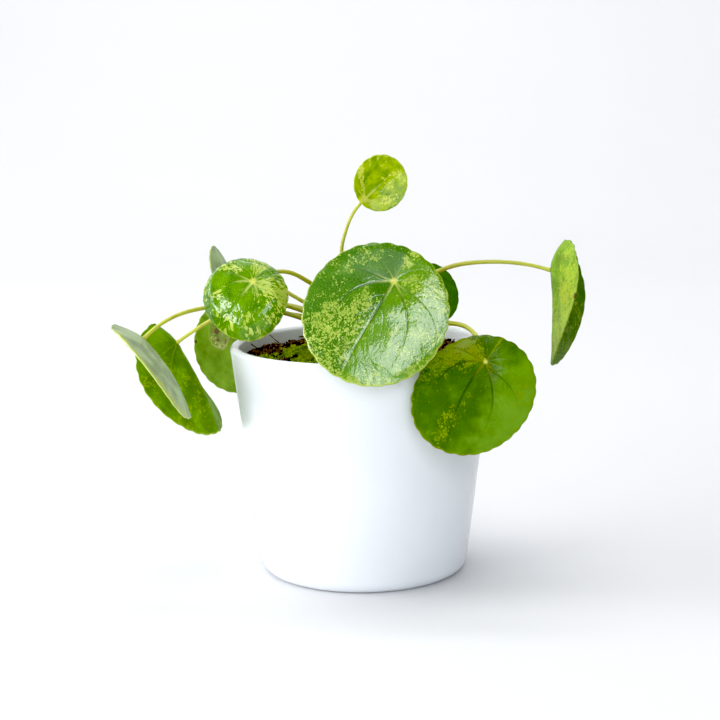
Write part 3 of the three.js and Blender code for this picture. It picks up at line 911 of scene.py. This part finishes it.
def ridge_height(leaf, angle, share):
    """Raised folds that run round part of the leaf, in millimetres."""
    turned = np.degrees((angle + math.pi) % (2 * math.pi) - math.pi)
    height = np.zeros_like(share)
    for first, last, at_share, rise in leaf["ridges"]:
        begun = smooth_step(turned, first - RIDGE_FADE, first + RIDGE_FADE)
        along = begun * (1 - smooth_step(turned, last - RIDGE_FADE, last + RIDGE_FADE))
        height = height + rise * along * np.exp(-(((share - at_share) / RIDGE_WIDTH) ** 2))
    return height


def make_blade(leaf):
    columns = leaf["scallops"] * STEPS_PER_SCALLOP
    seed = leaf["seed"]
    lines = vein_lines(leaf)
    main_lines = [line for line in lines if line[0] > MAIN_STRENGTH]

    def place(round_share, along_share):
        angle = round_share * 2 * math.pi
        share, side = blade_rows(leaf, along_share)
        along, across = flat_place(leaf, angle, share)
        groove = vein_relief(lines, along, across, GROOVE_WIDTH)
        broad = vein_relief(main_lines, along, across, PUFF_WIDTH)
        inside = 1 - smooth_step(share, 0.9, 1.0)
        small = min(1.0, leaf["radius"] / FULL_RELIEF_RADIUS)
        puff = PUFF * small * (1 - broad) * smooth_step(np.hypot(along, across), 3, 14)
        wide = value_noise(along + 60, across + 60, WAVE_SIZE, 40 + seed)
        fine = value_noise(along + 60, across + 60, RUMPLE_SIZE, 70 + seed)
        waves = WAVE_HEIGHT * small * wide * (0.3 + 0.7 * share) + leaf["rumple"] * fine
        waves = waves * inside + ridge_height(leaf, angle, share)
        top = (puff - GROOVE_DEPTH * small * groove) * inside
        under = (puff - 0.9 * GROOVE_DEPTH * small * groove) * inside
        height = side * BLADE_THICKNESS / 2 + np.where(side > 0, top, under) + waves
        points = sheet(leaf, angle, share)
        points = points + sheet_normals(leaf, angle, share) * height[:, None]
        world = points @ leaf_axes(leaf) + np.array(leaf["at"])
        values = {
            "flat": np.stack([along * MM, across * MM, np.zeros_like(along)], axis=-1),
            "flecks": fleck_place(leaf, along, across),
            "vein": groove,
            "share": share,
            "pale": patch_density(leaf["pale"], along, across, share),
            "dull": patch_density(leaf["dull"], along, across, share),
            "brown": brown_spots(leaf, angle, share),
            # painted sheen and painted shade, by the side of the midrib
            "painted_sheen_side": painted_sheen_and_shade(leaf, lines[0][1], along, across),
            "top": np.where(side > -0.2, 1.0, 0.0),
        }
        return world * MM, values

    return wrap_grid("leaf_" + leaf["name"], columns, sum(face_rows(leaf)) + EDGE_ROWS, place)


def split_faces(blade):
    """The second material goes to the faces whose vertices all lie underneath."""
    top = np.zeros(len(blade.data.vertices), np.float32)
    blade.data.attributes["top"].data.foreach_get("value", top)
    under = [int(all(top[k] < 0.5 for k in face.vertices)) for face in blade.data.polygons]
    blade.data.polygons.foreach_set("material_index", under)


# %% [markdown]
# ## The upper face
#
# Deep green with paler clouds and faint freckles; on some leaves the left half is painted
# paler, as painted sheen, and the right half deeper, as painted shade. Flecks lie where the
# patches are, with a thin pale line at the margin, and a pale spot over the petiole from
# which the veins start pale and soon turn dark, partly their own deeper green and partly
# painted shade in their grooves. The skin is waxy. Its fine cells break up what it mirrors,
# so the bump matters as much as the colour.

# %% Upper face finish
FLECK = 2.1 * MM
NET_CELL = 1.5 * MM
FLECK_LEVEL = 0.65
CLOUD = 0.3
FRECKLES = 0.3
WAX_DULL = 0.5
PATTERN_SHIFT = (0.37, 0.91, 0.53)
NAVEL_PALE = rgb(206, 212, 96)
DEAD_BROWN = rgb(92, 62, 34)
LEAF_FLESH = dict(Subsurface_Weight=0.05, Subsurface_Radius=(0.6, 1.0, 0.05), Subsurface_Scale=0.0006)


def leaf_map(look, leaf, name):
    """A map that the mesh carries, moved so that no two leaves share a pattern."""
    shift = [part * leaf["seed"] for part in PATTERN_SHIFT]
    return look.placed(look.attribute(name, "Vector"), shift=shift)


def scaled(colour, share):
    return (*(share * part for part in colour[:3]), 1.0)


def fleck_pattern(look, here, coarse, soft):
    """Small ragged flecks, split by a fine net of green, where pale says they crowd."""
    fine = look.noise(here, coarse * FLECK, detail=1.8, rough=0.55, distortion=1.6)
    broad = look.noise(here, 2.8 * coarse * FLECK, distortion=0.5)
    wobble = look.noise(here, 1.5 * NET_CELL, detail=1, output="Color")
    inputs = {0: wobble, 1: (0.9 * NET_CELL,) * 3, 2: here}
    bent = look.add("VectorMath", inputs, "Vector", operation="MULTIPLY_ADD")
    inputs = {"Vector": bent, "Scale": 1 / NET_CELL}
    net = look.add("TexVoronoi", inputs, "Distance", feature="DISTANCE_TO_EDGE")
    cell = look.add("TexVoronoi", inputs, "Color")
    level = look.between(net, 0.02, 0.13, -0.08, 0.01)
    for part, weight in ((cell, 0.08), (broad, 0.38), (fine, 0.54), (look.attribute("pale"), 0.27)):
        level = look.times(part, weight, level)
    return look.between(level, FLECK_LEVEL - soft, FLECK_LEVEL + soft), fine, broad


def with_spots(look, colour):
    """Lays the leaf's dead brown spots over its colour."""
    ragged = look.noise(look.place(), 1.0 * MM, detail=3)
    spot = look.between(look.times(look.attribute("brown"), 0.5, ragged), 0.68, 0.8)
    return look.lay(colour, DEAD_BROWN, spot, 0.85)


def blade_top(leaf):
    look = Look("leaf_top_" + leaf["name"])
    here = leaf_map(look, leaf, "flat")
    clouds = look.noise(here, CLOUD * leaf["radius"] * MM, detail=3)
    # The clouds, pushed paler on one half as painted sheen and deeper on the other as painted shade.
    cloudy = look.times(look.attribute("painted_sheen_side"), 0.5, clouds)
    colour = look.mix(look.between(cloudy, 0.42, 1.1), leaf["dark"], leaf["light"])
    grain = look.noise(here, 0.5 * MM)
    colour = look.lay(colour, leaf["fleck"], look.between(grain, 0.5, 0.72), FRECKLES)
    rays = leaf_map(look, leaf, "flecks")
    flecks, fine, broad = fleck_pattern(look, rays, leaf["coarse"], 0.015)
    tint = look.lay(leaf["fleck"], leaf["light"], look.between(broad, 0.38, 0.6), 0.4)
    colour = look.lay(colour, tint, flecks, 0.9)
    # Darker along the sunk veins: partly the veins' own deeper green, partly painted shade in their
    # grooves.
    lines = look.between(look.attribute("vein"), 0.12, 0.6)
    colour = look.lay(colour, scaled(leaf["dark"], 0.45), lines, leaf["veins"])
    flat = look.attribute("flat", "Vector")
    distance = look.add("VectorMath", {0: flat}, "Value", operation="LENGTH")
    near_navel = look.between(distance, 2 * MM, 11 * MM, 1, 0)
    colour = look.lay(colour, leaf["fleck"], look.times(lines, near_navel), 0.6)
    navel = leaf["navel"] * MM
    spot = look.between(distance, 0.4 * navel, 1.5 * navel, 1, 0)
    colour = look.lay(colour, NAVEL_PALE, spot, 0.9)
    edge = look.between(look.attribute("share"), 0.972, 0.992)
    colour = with_spots(look, look.lay(colour, leaf["fleck"], edge, 0.55))
    swell = look.noise(here, 3.0 * MM)
    cells = look.add("TexVoronoi", {"Vector": here, "Scale": 1 / (0.8 * MM)})
    surface = look.bumped(swell, 0.22 * leaf["relief"] * MM, 0.6)
    surface = look.bumped(cells, 0.05 * MM, 0.7, surface)
    surface = look.bumped(grain, 0.03 * MM, 0.7, surface)
    rough = look.between(fine, 0.3, 0.7, leaf["gloss"] - 0.05, leaf["gloss"] + 0.07)
    rough = look.times(look.attribute("dull"), WAX_DULL, rough)
    look.shade(Base_Color=colour, Roughness=rough, Normal=surface)
    look.shade(Specular_IOR_Level=leaf["shine"], **LEAF_FLESH)
    return look.owner


# %% [markdown]
# ## The underside
#
# Paler and greyer than the upper face, nearly matt, with raised veins. The flecks of the
# upper side show through it softly.

# %% Underside finish


def blade_underside(leaf):
    look = Look("leaf_underside_" + leaf["name"])
    here = leaf_map(look, leaf, "flat")
    clouds = look.between(look.noise(here, 10 * MM, detail=3), 0.35, 0.65)
    colour = look.mix(clouds, scaled(leaf["under"], 0.7), scaled(leaf["under"], 1.15))
    flecks = fleck_pattern(look, here, leaf["coarse"], 0.06)[0]
    yellower = look.mix(0.8, leaf["under"], rgb(200, 212, 66))
    colour = look.lay(colour, yellower, flecks, leaf["shows"])
    streaks = look.noise(look.placed(here, stretch=(0.16, 1, 1)), 1.2 * MM)
    colour = look.lay(colour, leaf["fleck"], look.between(streaks, 0.45, 0.7), leaf["streaks"])
    lines = look.between(look.attribute("vein"), 0.3, 0.9)
    colour = look.lay(colour, rgb(170, 190, 110), lines, 0.4)
    edge = look.between(look.attribute("share"), 0.975, 0.995)
    colour = with_spots(look, look.lay(colour, leaf["fleck"], edge, 0.5))
    swell = look.noise(here, 2.5 * MM)
    cells = look.add("TexVoronoi", {"Vector": here, "Scale": 1 / (0.9 * MM)})
    surface = look.bumped(swell, 0.15 * MM, 0.6)
    surface = look.bumped(cells, 0.04 * MM, 0.6, surface)
    look.shade(Base_Color=colour, Roughness=0.5, Normal=surface)
    look.shade(Specular_IOR_Level=0.15, **LEAF_FLESH)
    return look.owner


# %% Make the blades
for leaf in LEAVES:
    blade = make_blade(leaf)
    blade.data.materials.append(blade_top(leaf))
    blade.data.materials.append(blade_underside(leaf))
    split_faces(blade)
    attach(blade, "root")
    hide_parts("blade_" + leaf["name"])
    print(blade.name, len(blade.data.polygons), "faces")

# %% [markdown]
# ## The petioles
#
# Each petiole is a juicy round stem that arches from the stalk to the blade, thinner at
# the blade, with a swollen foot and a small flare under the blade. A grid wrapped round a
# curve through the table's points gives all of it. The same kind of curve is used as for
# the solids, so that the stems run where they do.

# %% Petiole curve
STEM_TAPER = 0.68
STEM_SIDES = 20
STEM_ROWS = 110


def through_points(points, count):
    """Evenly spaced places on a smooth curve through the points, drawn tight at the bends."""
    p = np.array(points, float)
    p = np.vstack([2 * p[0] - p[1], p, 2 * p[-1] - p[-2]])
    found = []
    for k in range(1, len(p) - 2):
        before, here, there, after = p[k - 1 : k + 3]
        steps = (here - before, there - here, after - there)
        gaps = [np.linalg.norm(step) ** 0.5 for step in steps]
        way = steps[1] / gaps[1]
        first = steps[0] / gaps[0] - (there - before) / (gaps[0] + gaps[1]) + way
        last = way - (after - here) / (gaps[1] + gaps[2]) + steps[2] / gaps[2]
        first, last = first * gaps[1], last * gaps[1]
        t = np.linspace(0, 1, 40, endpoint=False)[:, None]
        square = -3 * here + 3 * there - 2 * first - last
        cube = 2 * here - 2 * there + first + last
        found.append(here + first * t + square * t**2 + cube * t**3)
    line = np.vstack([*found, p[-2][None]])
    run = np.concatenate([[0], np.cumsum(np.linalg.norm(np.diff(line, axis=0), axis=1))])
    even = np.linspace(0, run[-1], count)
    return np.stack([np.interp(even, run, line[:, axis]) for axis in range(3)], axis=-1), run[-1]


def carried_frames(line):
    """Two directions square to the curve at each place, turned as little as possible."""
    ways = np.gradient(line, axis=0)
    ways = ways / np.linalg.norm(ways, axis=1, keepdims=True)
    side = unit(np.cross(ways[0], (0.3, 0.9, 0.2)))
    sides = []
    for way in ways:
        side = unit(side - way * (side @ way))
        sides.append(side)
    sides = np.array(sides)
    return sides, np.cross(ways, sides)


# %% Petiole
STEM_FOOT = 1.4
STEM_FOOT_LENGTH = 5.0
STEM_HEAD = 0.45
STEM_HEAD_LENGTH = 1.6
STEM_UNEVEN = 0.04
STEM_RIB = 0.025
STEM_RIBS = 5


def make_stem(leaf):
    line, length = through_points(leaf["stem"], STEM_ROWS + 1)
    sides, ups = carried_frames(line)
    seed = leaf["seed"]

    def place(round_share, along_share):
        row = np.rint(along_share * STEM_ROWS).astype(int)
        run = along_share * length
        angle = round_share * 2 * math.pi
        radius = leaf["stem_radius"] * (1 + (STEM_TAPER - 1) * along_share)
        radius = radius * (1 + (STEM_FOOT - 1) * np.exp(-run / STEM_FOOT_LENGTH))
        radius = radius + STEM_HEAD * np.exp(-(length - run) / STEM_HEAD_LENGTH)
        radius = radius * (1 + STEM_UNEVEN * value_noise(run + 50, angle * 0 + seed, 6.0, seed))
        radius = radius * (1 + STEM_RIB * np.cos(STEM_RIBS * angle))
        radius = np.where((row == 0) | (row == STEM_ROWS), 0.0, radius)
        out = np.cos(angle)[:, None] * sides[row] + np.sin(angle)[:, None] * ups[row]
        points = line[row] + out * radius[:, None]
        streak = np.stack([np.cos(angle) * MM, np.sin(angle) * MM, run * MM], axis=-1)
        return points * MM, {"run": along_share, "streak": streak}

    return wrap_grid("stem_" + leaf["name"], STEM_SIDES, STEM_ROWS, place)


def stem_finish(brown, olive, fresh):
    """Brownish at the stalk, then olive, then yellow-green at the blade, with fine streaks."""
    look = Look("petiole_skin")
    run = look.attribute("run")
    streak = look.attribute("streak", "Vector")
    fibres = look.noise(look.placed(streak, stretch=(1, 1, 0.06)), 0.5 * MM)
    patches = look.noise(look.place(), 8 * MM)
    dots = look.noise(look.placed(streak, stretch=(1, 1, 0.4)), 0.3 * MM, detail=1)
    colour = look.mix(look.between(run, 0.02, 0.3), brown, olive)
    colour = look.lay(colour, fresh, look.between(run, 0.35, 1.0))
    colour = look.lay(colour, brown, look.between(fibres, 0.4, 0.65), 0.22)
    colour = look.lay(colour, rgb(150, 128, 52), look.between(patches, 0.5, 0.75), 0.25)
    colour = look.lay(colour, fresh, look.between(dots, 0.62, 0.72), 0.35)
    surface = look.bumped(fibres, 0.05 * MM, 0.7)
    look.shade(Base_Color=colour, Roughness=0.34, Normal=surface)
    look.shade(Subsurface_Weight=0.2, Subsurface_Scale=0.001)
    look.shade(Subsurface_Radius=(0.8, 1.0, 0.2))
    return look.owner


STEM_SKIN = stem_finish(rgb(122, 104, 34), rgb(168, 172, 52), rgb(206, 210, 84))
for leaf in LEAVES:
    stem = make_stem(leaf)
    stem.data.materials.append(STEM_SKIN)
    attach(stem, "root")
    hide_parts("petiole_" + leaf["name"])
print("petioles:", len(LEAVES))

# %% [markdown]
# ## The stalk
#
# The short stalk is corky and ringed with the scars of old leaves, and greener toward its
# tip, where new leaves start. It stands in the soil where the solid does. It is wrapped
# like the petioles, because its rings and knots are easier to say than to carve.

# %% Stalk
stalk_low, stalk_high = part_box("stalk")
STALK_X = (stalk_low.x + stalk_high.x) / 2
STALK_RADIUS = 3.1 * MM
STALK_SHAPE = [(0, 0.9), (0.1, 1), (0.5, 1), (0.56, 1.1), (0.64, 0.98), (0.7, 1.08),
               (0.78, 0.94), (0.84, 1.02), (0.91, 0.84), (0.96, 0.66), (1, 0)]
STALK_SIDES = 64
STALK_ROWS = 150
SCAR_RINGS = 14
SCAR_HEIGHT = 0.04
KNOT_HEIGHT = 0.06


def make_stalk():
    heights, widths = zip(*STALK_SHAPE)
    length = stalk_high.z - stalk_low.z

    def place(round_share, along_share):
        angle = round_share * 2 * math.pi
        width = np.interp(along_share, heights, widths) * STALK_RADIUS
        width = np.where(along_share < 0.5 / STALK_ROWS, 0, width)
        rings = np.cos(along_share * 2 * math.pi * SCAR_RINGS + np.cos(angle))
        knots = value_noise(angle * 3 + 3, along_share * 40, 1.7, 5) * np.sin(angle / 2) ** 2
        width = width * (1 + SCAR_HEIGHT * rings + KNOT_HEIGHT * knots)
        z = stalk_low.z + along_share * length
        points = [STALK_X + width * np.cos(angle), width * np.sin(angle), z]
        return np.stack(points, axis=-1), {"run": along_share}

    return wrap_grid("stalk_corky", STALK_SIDES, STALK_ROWS, place)


def bark():
    look = Look("stalk_bark")
    place = look.place()
    run = look.attribute("run")
    cork = look.noise(look.placed(place, stretch=(1, 1, 2.2)), 1.2 * MM, detail=4, rough=0.6)
    colour = look.mix(look.between(cork, 0.35, 0.65), rgb(78, 62, 34), rgb(134, 116, 66))
    colour = look.lay(colour, rgb(128, 146, 48), look.between(run, 0.72, 1.0))
    surface = look.bumped(cork, 0.3 * MM, 0.8)
    look.shade(Base_Color=colour, Roughness=0.7, Normal=surface)
    return look.owner


stalk = make_stalk()
stalk.data.materials.append(bark())
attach(stalk, "root")
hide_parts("stalk")
print("stalk:", len(stalk.data.polygons), "faces")

# %% [markdown]
# ## The soil
#
# Dark potting soil, heaped a little round the stalk and lumpy down to single crumbs. The
# skin goes from the middle out to the wall and down to the floor, as the solid does, with
# its lumps in the same places and finer ones on them.

# %% Soil form
SOIL_CROWN = 1.6 * MM
SOIL_LUMP = 1.05 * MM
SOIL_CRUMBLE = 0.55 * MM
SOIL_EDGE_DEPTH = 3.0 * MM
SOIL_GAP = 0.3 * MM
SOIL_COLUMNS = 300
SOIL_ROWS = 150
SOIL_TOP_ROWS = 138
MOSS_PATCHES = [  # how sure, middle and reach in mm
    (1.3, (-12, -6), (28, 30)),
    (0.8, (26, 24), (15, 12)),
]


def soil_height(x, y):
    """Height of the soil at a place in metres: the solid's lumps, then finer ones."""
    share = np.hypot(x, y) / inner_radius(SOIL_LEVEL)
    a, b = x / MM, y / MM
    wide = np.sin(a * 0.31 + 1.3) * np.cos(b * 0.27 - 0.6)
    small = np.sin(a * 0.83 - b * 0.71)
    fine = 0.9 * value_noise(a + 70, b + 70, 3.1, 21) + 0.6 * value_noise(a + 70, b + 70, 1.4, 22)
    height = SOIL_LEVEL + SOIL_CROWN * (1 - share**2) + SOIL_LUMP * (0.63 * wide + 0.37 * small)
    return height + SOIL_CRUMBLE * fine


def moss_cover(x, y):
    """How thick moss grows at a place, from 0 to 1."""
    a, b = x / MM, y / MM
    patchy = 0.5 * value_noise(a + 70, b + 70, 9.0, 31) + 0.3 * value_noise(a + 70, b + 70, 3.0, 32)
    patches = [
        sure - np.hypot((a - middle[0]) / reach[0], (b - middle[1]) / reach[1]) ** 2
        for sure, middle, reach in MOSS_PATCHES
    ]
    return smooth_step(np.maximum(*patches) + 1.6 * patchy, 0.1, 0.7)


def make_soil():
    edge = inner_radius(SOIL_LEVEL - SOIL_EDGE_DEPTH) - 2 * SOIL_GAP
    corner = POT_FLOOR + POT_WALL + SOIL_GAP
    floor = POT_FLOOR + SOIL_GAP
    side = inner_radius(corner) - 2 * SOIL_GAP
    turns = [0, 0.6, 0.75, 1]

    def place(round_share, along_share):
        angle = round_share * 2 * math.pi
        row = along_share * SOIL_ROWS
        radius = np.clip(row / SOIL_TOP_ROWS, 0, 1) * edge
        around = np.stack([np.cos(angle), np.sin(angle)])
        z = soil_height(*(radius * around))
        below = np.clip((row - SOIL_TOP_ROWS) / (SOIL_ROWS - SOIL_TOP_ROWS), 0, 1)
        depth = np.minimum(below / turns[1], 1)
        floor_part = np.interp(below, turns, [0, corner, floor, floor])
        z = np.where(depth < 1, z * (1 - depth) + corner * depth, floor_part)
        radius = np.where(below > 0, np.interp(below, turns, [edge, side, side - POT_WALL, 0]), radius)
        x, y = radius * around
        moss = np.where(below > 0, 0, moss_cover(x, y))
        return np.stack([x, y, z], axis=-1), {"moss": moss}

    return wrap_grid("soil_surface", SOIL_COLUMNS, SOIL_ROWS, place)


def soil_finish():
    """Dark brown crumbs with painted shade in the gaps between them, and a green film where the moss
    is.
    """
    look = Look("potting_soil")
    place = look.place()
    moss = look.attribute("moss")
    crumbs = look.noise(place, 1.6 * MM, detail=4, rough=0.65)
    grains = look.noise(place, 0.7 * MM)
    # Darkest where the crumb noise is low, which is where the bump sinks: partly the soil's own
    # browns, partly painted shade in the gaps.
    colour = look.mix(look.between(crumbs, 0.38, 0.66), rgb(24, 17, 11), rgb(112, 84, 58))
    colour = look.lay(colour, rgb(156, 124, 92), look.between(grains, 0.66, 0.74))
    green = look.mix(look.between(grains, 0.35, 0.65), rgb(26, 34, 6), rgb(78, 98, 16))
    film = look.times(moss, look.between(crumbs, 0.3, 0.5))
    colour = look.lay(colour, green, film)
    surface = look.bumped(crumbs, 0.8 * MM)
    surface = look.bumped(grains, 0.3 * MM, 0.8, surface)
    look.shade(Base_Color=colour, Roughness=0.92, Normal=surface)
    look.shade(Specular_IOR_Level=0.2)
    return look.owner


soil = make_soil()
soil.data.materials.append(soil_finish())
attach(soil, "root")
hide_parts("soil")
print("soil:", len(soil.data.polygons), "faces")

# %% [markdown]
# ## Crumbs, twigs and moss
#
# Loose crumbs lie on the soil, a few pale grains among them, and some bits of twig. Moss
# is a velvet of tiny leafy shoots. Each kind is modelled once or a few times, small and
# with few faces, and then set down many times by a seeded draw in one piece.

# %% Scatter helper


def mesh_arrays(obj):
    """A small mesh as an array of points and a list of faces, and the object removed."""
    points = np.array([vertex.co for vertex in obj.data.vertices])
    faces = [tuple(face.vertices) for face in obj.data.polygons]
    bpy.data.objects.remove(obj)
    return points, faces


def scatter(name, shapes, spots):
    """One piece that holds a shape at each spot: (shape number, place, three directions, tone)."""
    points, faces, tones = [], [], []
    start = 0
    for number, place, turned, tone in spots:
        shape_points, shape_faces = shapes[number]
        points.append(shape_points @ turned + place)
        faces += [tuple(k + start for k in face) for face in shape_faces]
        tones += [tone] * len(shape_points)
        start += len(shape_points)
    mesh = bpy.data.meshes.new(name)
    mesh.from_pydata(np.vstack(points).tolist(), [], faces)
    carried = mesh.attributes.new("tone", "FLOAT", "POINT")
    carried.data.foreach_set("value", np.array(tones, np.float32))
    piece = bpy.data.objects.new(name, mesh)
    bpy.context.scene.collection.objects.link(piece)
    return piece


def random_turn(draw, lean):
    """Three directions, turned any way round and leaning by up to this much."""
    spin, tilt, way = draw.uniform(0, [2 * math.pi, lean, 2 * math.pi])
    turned = Matrix.Rotation(tilt, 3, Vector((math.cos(way), math.sin(way), 0)))
    return np.array((turned @ Matrix.Rotation(spin, 3, "Z")).transposed())


def spots_on_soil(draw, count, edge, clear, grows, size, rise, lean, kinds):
    """Draws spots on the soil: edge keeps them off the pot, clear off the stalk. grows
    takes a chance and how mossy the spot is, and size a chance, in millimetres."""
    spots = []
    limit = inner_radius(SOIL_LEVEL) - edge
    while len(spots) < count:
        x, y = draw.uniform(-limit, limit, 2)
        if math.hypot(x, y) > limit or math.hypot(x - STALK_X, y) < clear * STALK_RADIUS:
            continue
        if not grows(draw.uniform(), float(moss_cover(x, y))):
            continue
        across = size(draw.uniform()) * MM
        place = np.array((x, y, float(soil_height(x, y)) + rise * across))
        kind = int(draw.integers(kinds))
        spots.append((kind, place, random_turn(draw, lean) * across, draw.uniform()))
    return spots


# %% Crumbs
CRUMB_COUNT = 2200


def crumb_shape(seed):
    """A ball of soil, made uneven, about 1 across."""
    bpy.ops.mesh.primitive_ico_sphere_add(subdivisions=2, radius=0.5)
    crumb = bpy.context.object
    draw = np.random.default_rng(seed)
    for vertex in crumb.data.vertices:
        vertex.co *= 1 + draw.uniform(-0.28, 0.2)
        vertex.co.z *= 0.75
    return mesh_arrays(crumb)


def make_crumbs():
    shapes = [crumb_shape(seed) for seed in (1, 2, 3)]
    spots = spots_on_soil(
        np.random.default_rng(7), CRUMB_COUNT, edge=1.5 * MM, clear=1.4,
        grows=lambda chance, moss: chance >= 0.75 * moss,
        size=lambda chance: 0.6 + 1.7 * chance**3,
        rise=0.2, lean=math.pi, kinds=len(shapes),
    )
    return scatter("crumbs", shapes, spots)


def crumb_finish():
    look = Look("crumb_brown")
    tone = look.attribute("tone")
    mottled = look.noise(look.place(), 0.8 * MM, detail=3)
    colour = look.mix(tone, rgb(30, 22, 16), rgb(130, 106, 80))
    colour = look.lay(colour, rgb(40, 28, 19), look.between(mottled, 0.45, 0.65))
    colour = look.lay(colour, rgb(182, 166, 140), look.between(tone, 0.985, 0.99))
    surface = look.bumped(mottled, 0.3 * MM)
    look.shade(Base_Color=colour, Roughness=0.9, Normal=surface)
    look.shade(Specular_IOR_Level=0.2)
    return look.owner


crumbs = make_crumbs()
crumbs.data.materials.append(crumb_finish())
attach(crumbs, "root")
print("crumbs:", CRUMB_COUNT)

# %% Twigs
TWIGS = [  # ends in mm and thickness
    ((-39, 27, 101.4), (-43.8, 31.5, 104.6), 0.55),
    ((-47.8, 11, 100.9), (-51.2, 7.6, 104.4), 0.5),
    ((-30, 44, 101.2), (-22, 47, 101.6), 0.7),
    ((38, 6, 101.2), (44, 22, 102.4), 0.6),
    ((12, -42, 100.6), (22, -38, 101.0), 0.8),
    ((20, 38, 101.0), (30, 36, 101.4), 0.6),
    ((-44, -14, 100.4), (-40, -24, 100.6), 0.6),
]


def make_twigs():
    """Bits of dry twig, each a thin crooked rod from end to end."""
    bpy.ops.mesh.primitive_cylinder_add(vertices=7, radius=0.5, depth=1.0)
    rod = bpy.context.object
    bpy.ops.object.mode_set(mode="EDIT")
    bpy.ops.mesh.select_all(action="SELECT")
    bpy.ops.mesh.subdivide(number_cuts=3)
    bpy.ops.object.mode_set(mode="OBJECT")
    draw = np.random.default_rng(11)
    shape = mesh_arrays(rod)
    spots = []
    shapes = []
    for number, (start, end, thick) in enumerate(TWIGS):
        points = shape[0].copy()
        points[:, 0] += 0.5 * value_noise(points[:, 2] * 3 + 5, points[:, 2] * 0, 0.7, 60 + number)
        points[:, :2] *= 1 + draw.uniform(-0.12, 0.12, (len(points), 1))
        shapes.append((points, shape[1]))
        way = np.array(end, float) - np.array(start, float)
        length = np.linalg.norm(way)
        turned = Vector(way).to_track_quat("Z", "Y").to_matrix().transposed()
        turned = np.array(turned) * np.array([[thick], [thick], [length]]) * MM
        spots.append((number, (np.array(start) + way / 2) * MM, turned, draw.uniform()))
    return scatter("twigs", shapes, spots)


def twig_finish():
    look = Look("twig_bark")
    rough_bark = look.noise(look.place(), 0.6 * MM, detail=3)
    colour = look.mix(rough_bark, rgb(44, 30, 22), rgb(120, 92, 66))
    surface = look.bumped(rough_bark, 0.15 * MM)
    look.shade(Base_Color=colour, Roughness=0.85, Normal=surface)
    return look.owner


twigs = make_twigs()
twigs.data.materials.append(twig_finish())
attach(twigs, "root")
print("twigs:", len(TWIGS))

# %% Moss
MOSS_COUNT = 4600


def moss_shoot(seed):
    """A shoot of five narrow leaves that spread from one point, 1 high."""
    draw = np.random.default_rng(seed)
    points, faces = [], []
    for k in range(5):
        turn = k * 2 * math.pi / 5 + draw.uniform(-0.4, 0.4)
        lean = draw.uniform(0.25, 0.7)
        way = np.array((math.cos(turn), math.sin(turn), 0.0))
        side = np.array((-way[1], way[0], 0.0)) * 0.11
        middle = way * lean * 0.4 + np.array((0, 0, 0.55))
        tip = way * lean + np.array((0, 0, draw.uniform(0.75, 1.0)))
        start = len(points)
        points += [-side * 0.5, side * 0.5, middle + side, tip, middle - side, way * -0.06 + middle]
        faces += [(start, start + 1, start + 2, start + 4), (start + 4, start + 2, start + 3)]
        faces += [(start + 1, start, start + 5), (start + 1, start + 5, start + 2)]
        faces += [(start, start + 4, start + 5), (start + 2, start + 5, start + 3)]
        faces += [(start + 5, start + 4, start + 3)]
    return np.array(points), faces


def make_moss():
    shapes = [moss_shoot(seed) for seed in (1, 2, 3, 4)]
    spots = spots_on_soil(
        np.random.default_rng(17), MOSS_COUNT, edge=2.0 * MM, clear=1.2,
        grows=lambda chance, moss: chance <= moss**1.5,
        size=lambda chance: 0.8 + 1.7 * chance**1.5,
        rise=-0.15, lean=0.4, kinds=len(shapes),
    )
    return scatter("moss", shapes, spots)


def moss_finish():
    look = Look("moss_green")
    tone = look.attribute("tone")
    browner = look.between(look.noise(look.place(), 5 * MM), 0.52, 0.7)
    colour = look.mix(tone, rgb(110, 144, 8), rgb(202, 222, 68))
    colour = look.lay(colour, rgb(120, 112, 40), browner, 0.6)
    look.shade(Base_Color=colour, Roughness=0.75)
    look.shade(Specular_IOR_Level=0.2)
    return look.owner


moss = make_moss()
moss.data.materials.append(moss_finish())
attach(moss, "root")
print("moss shoots:", MOSS_COUNT)
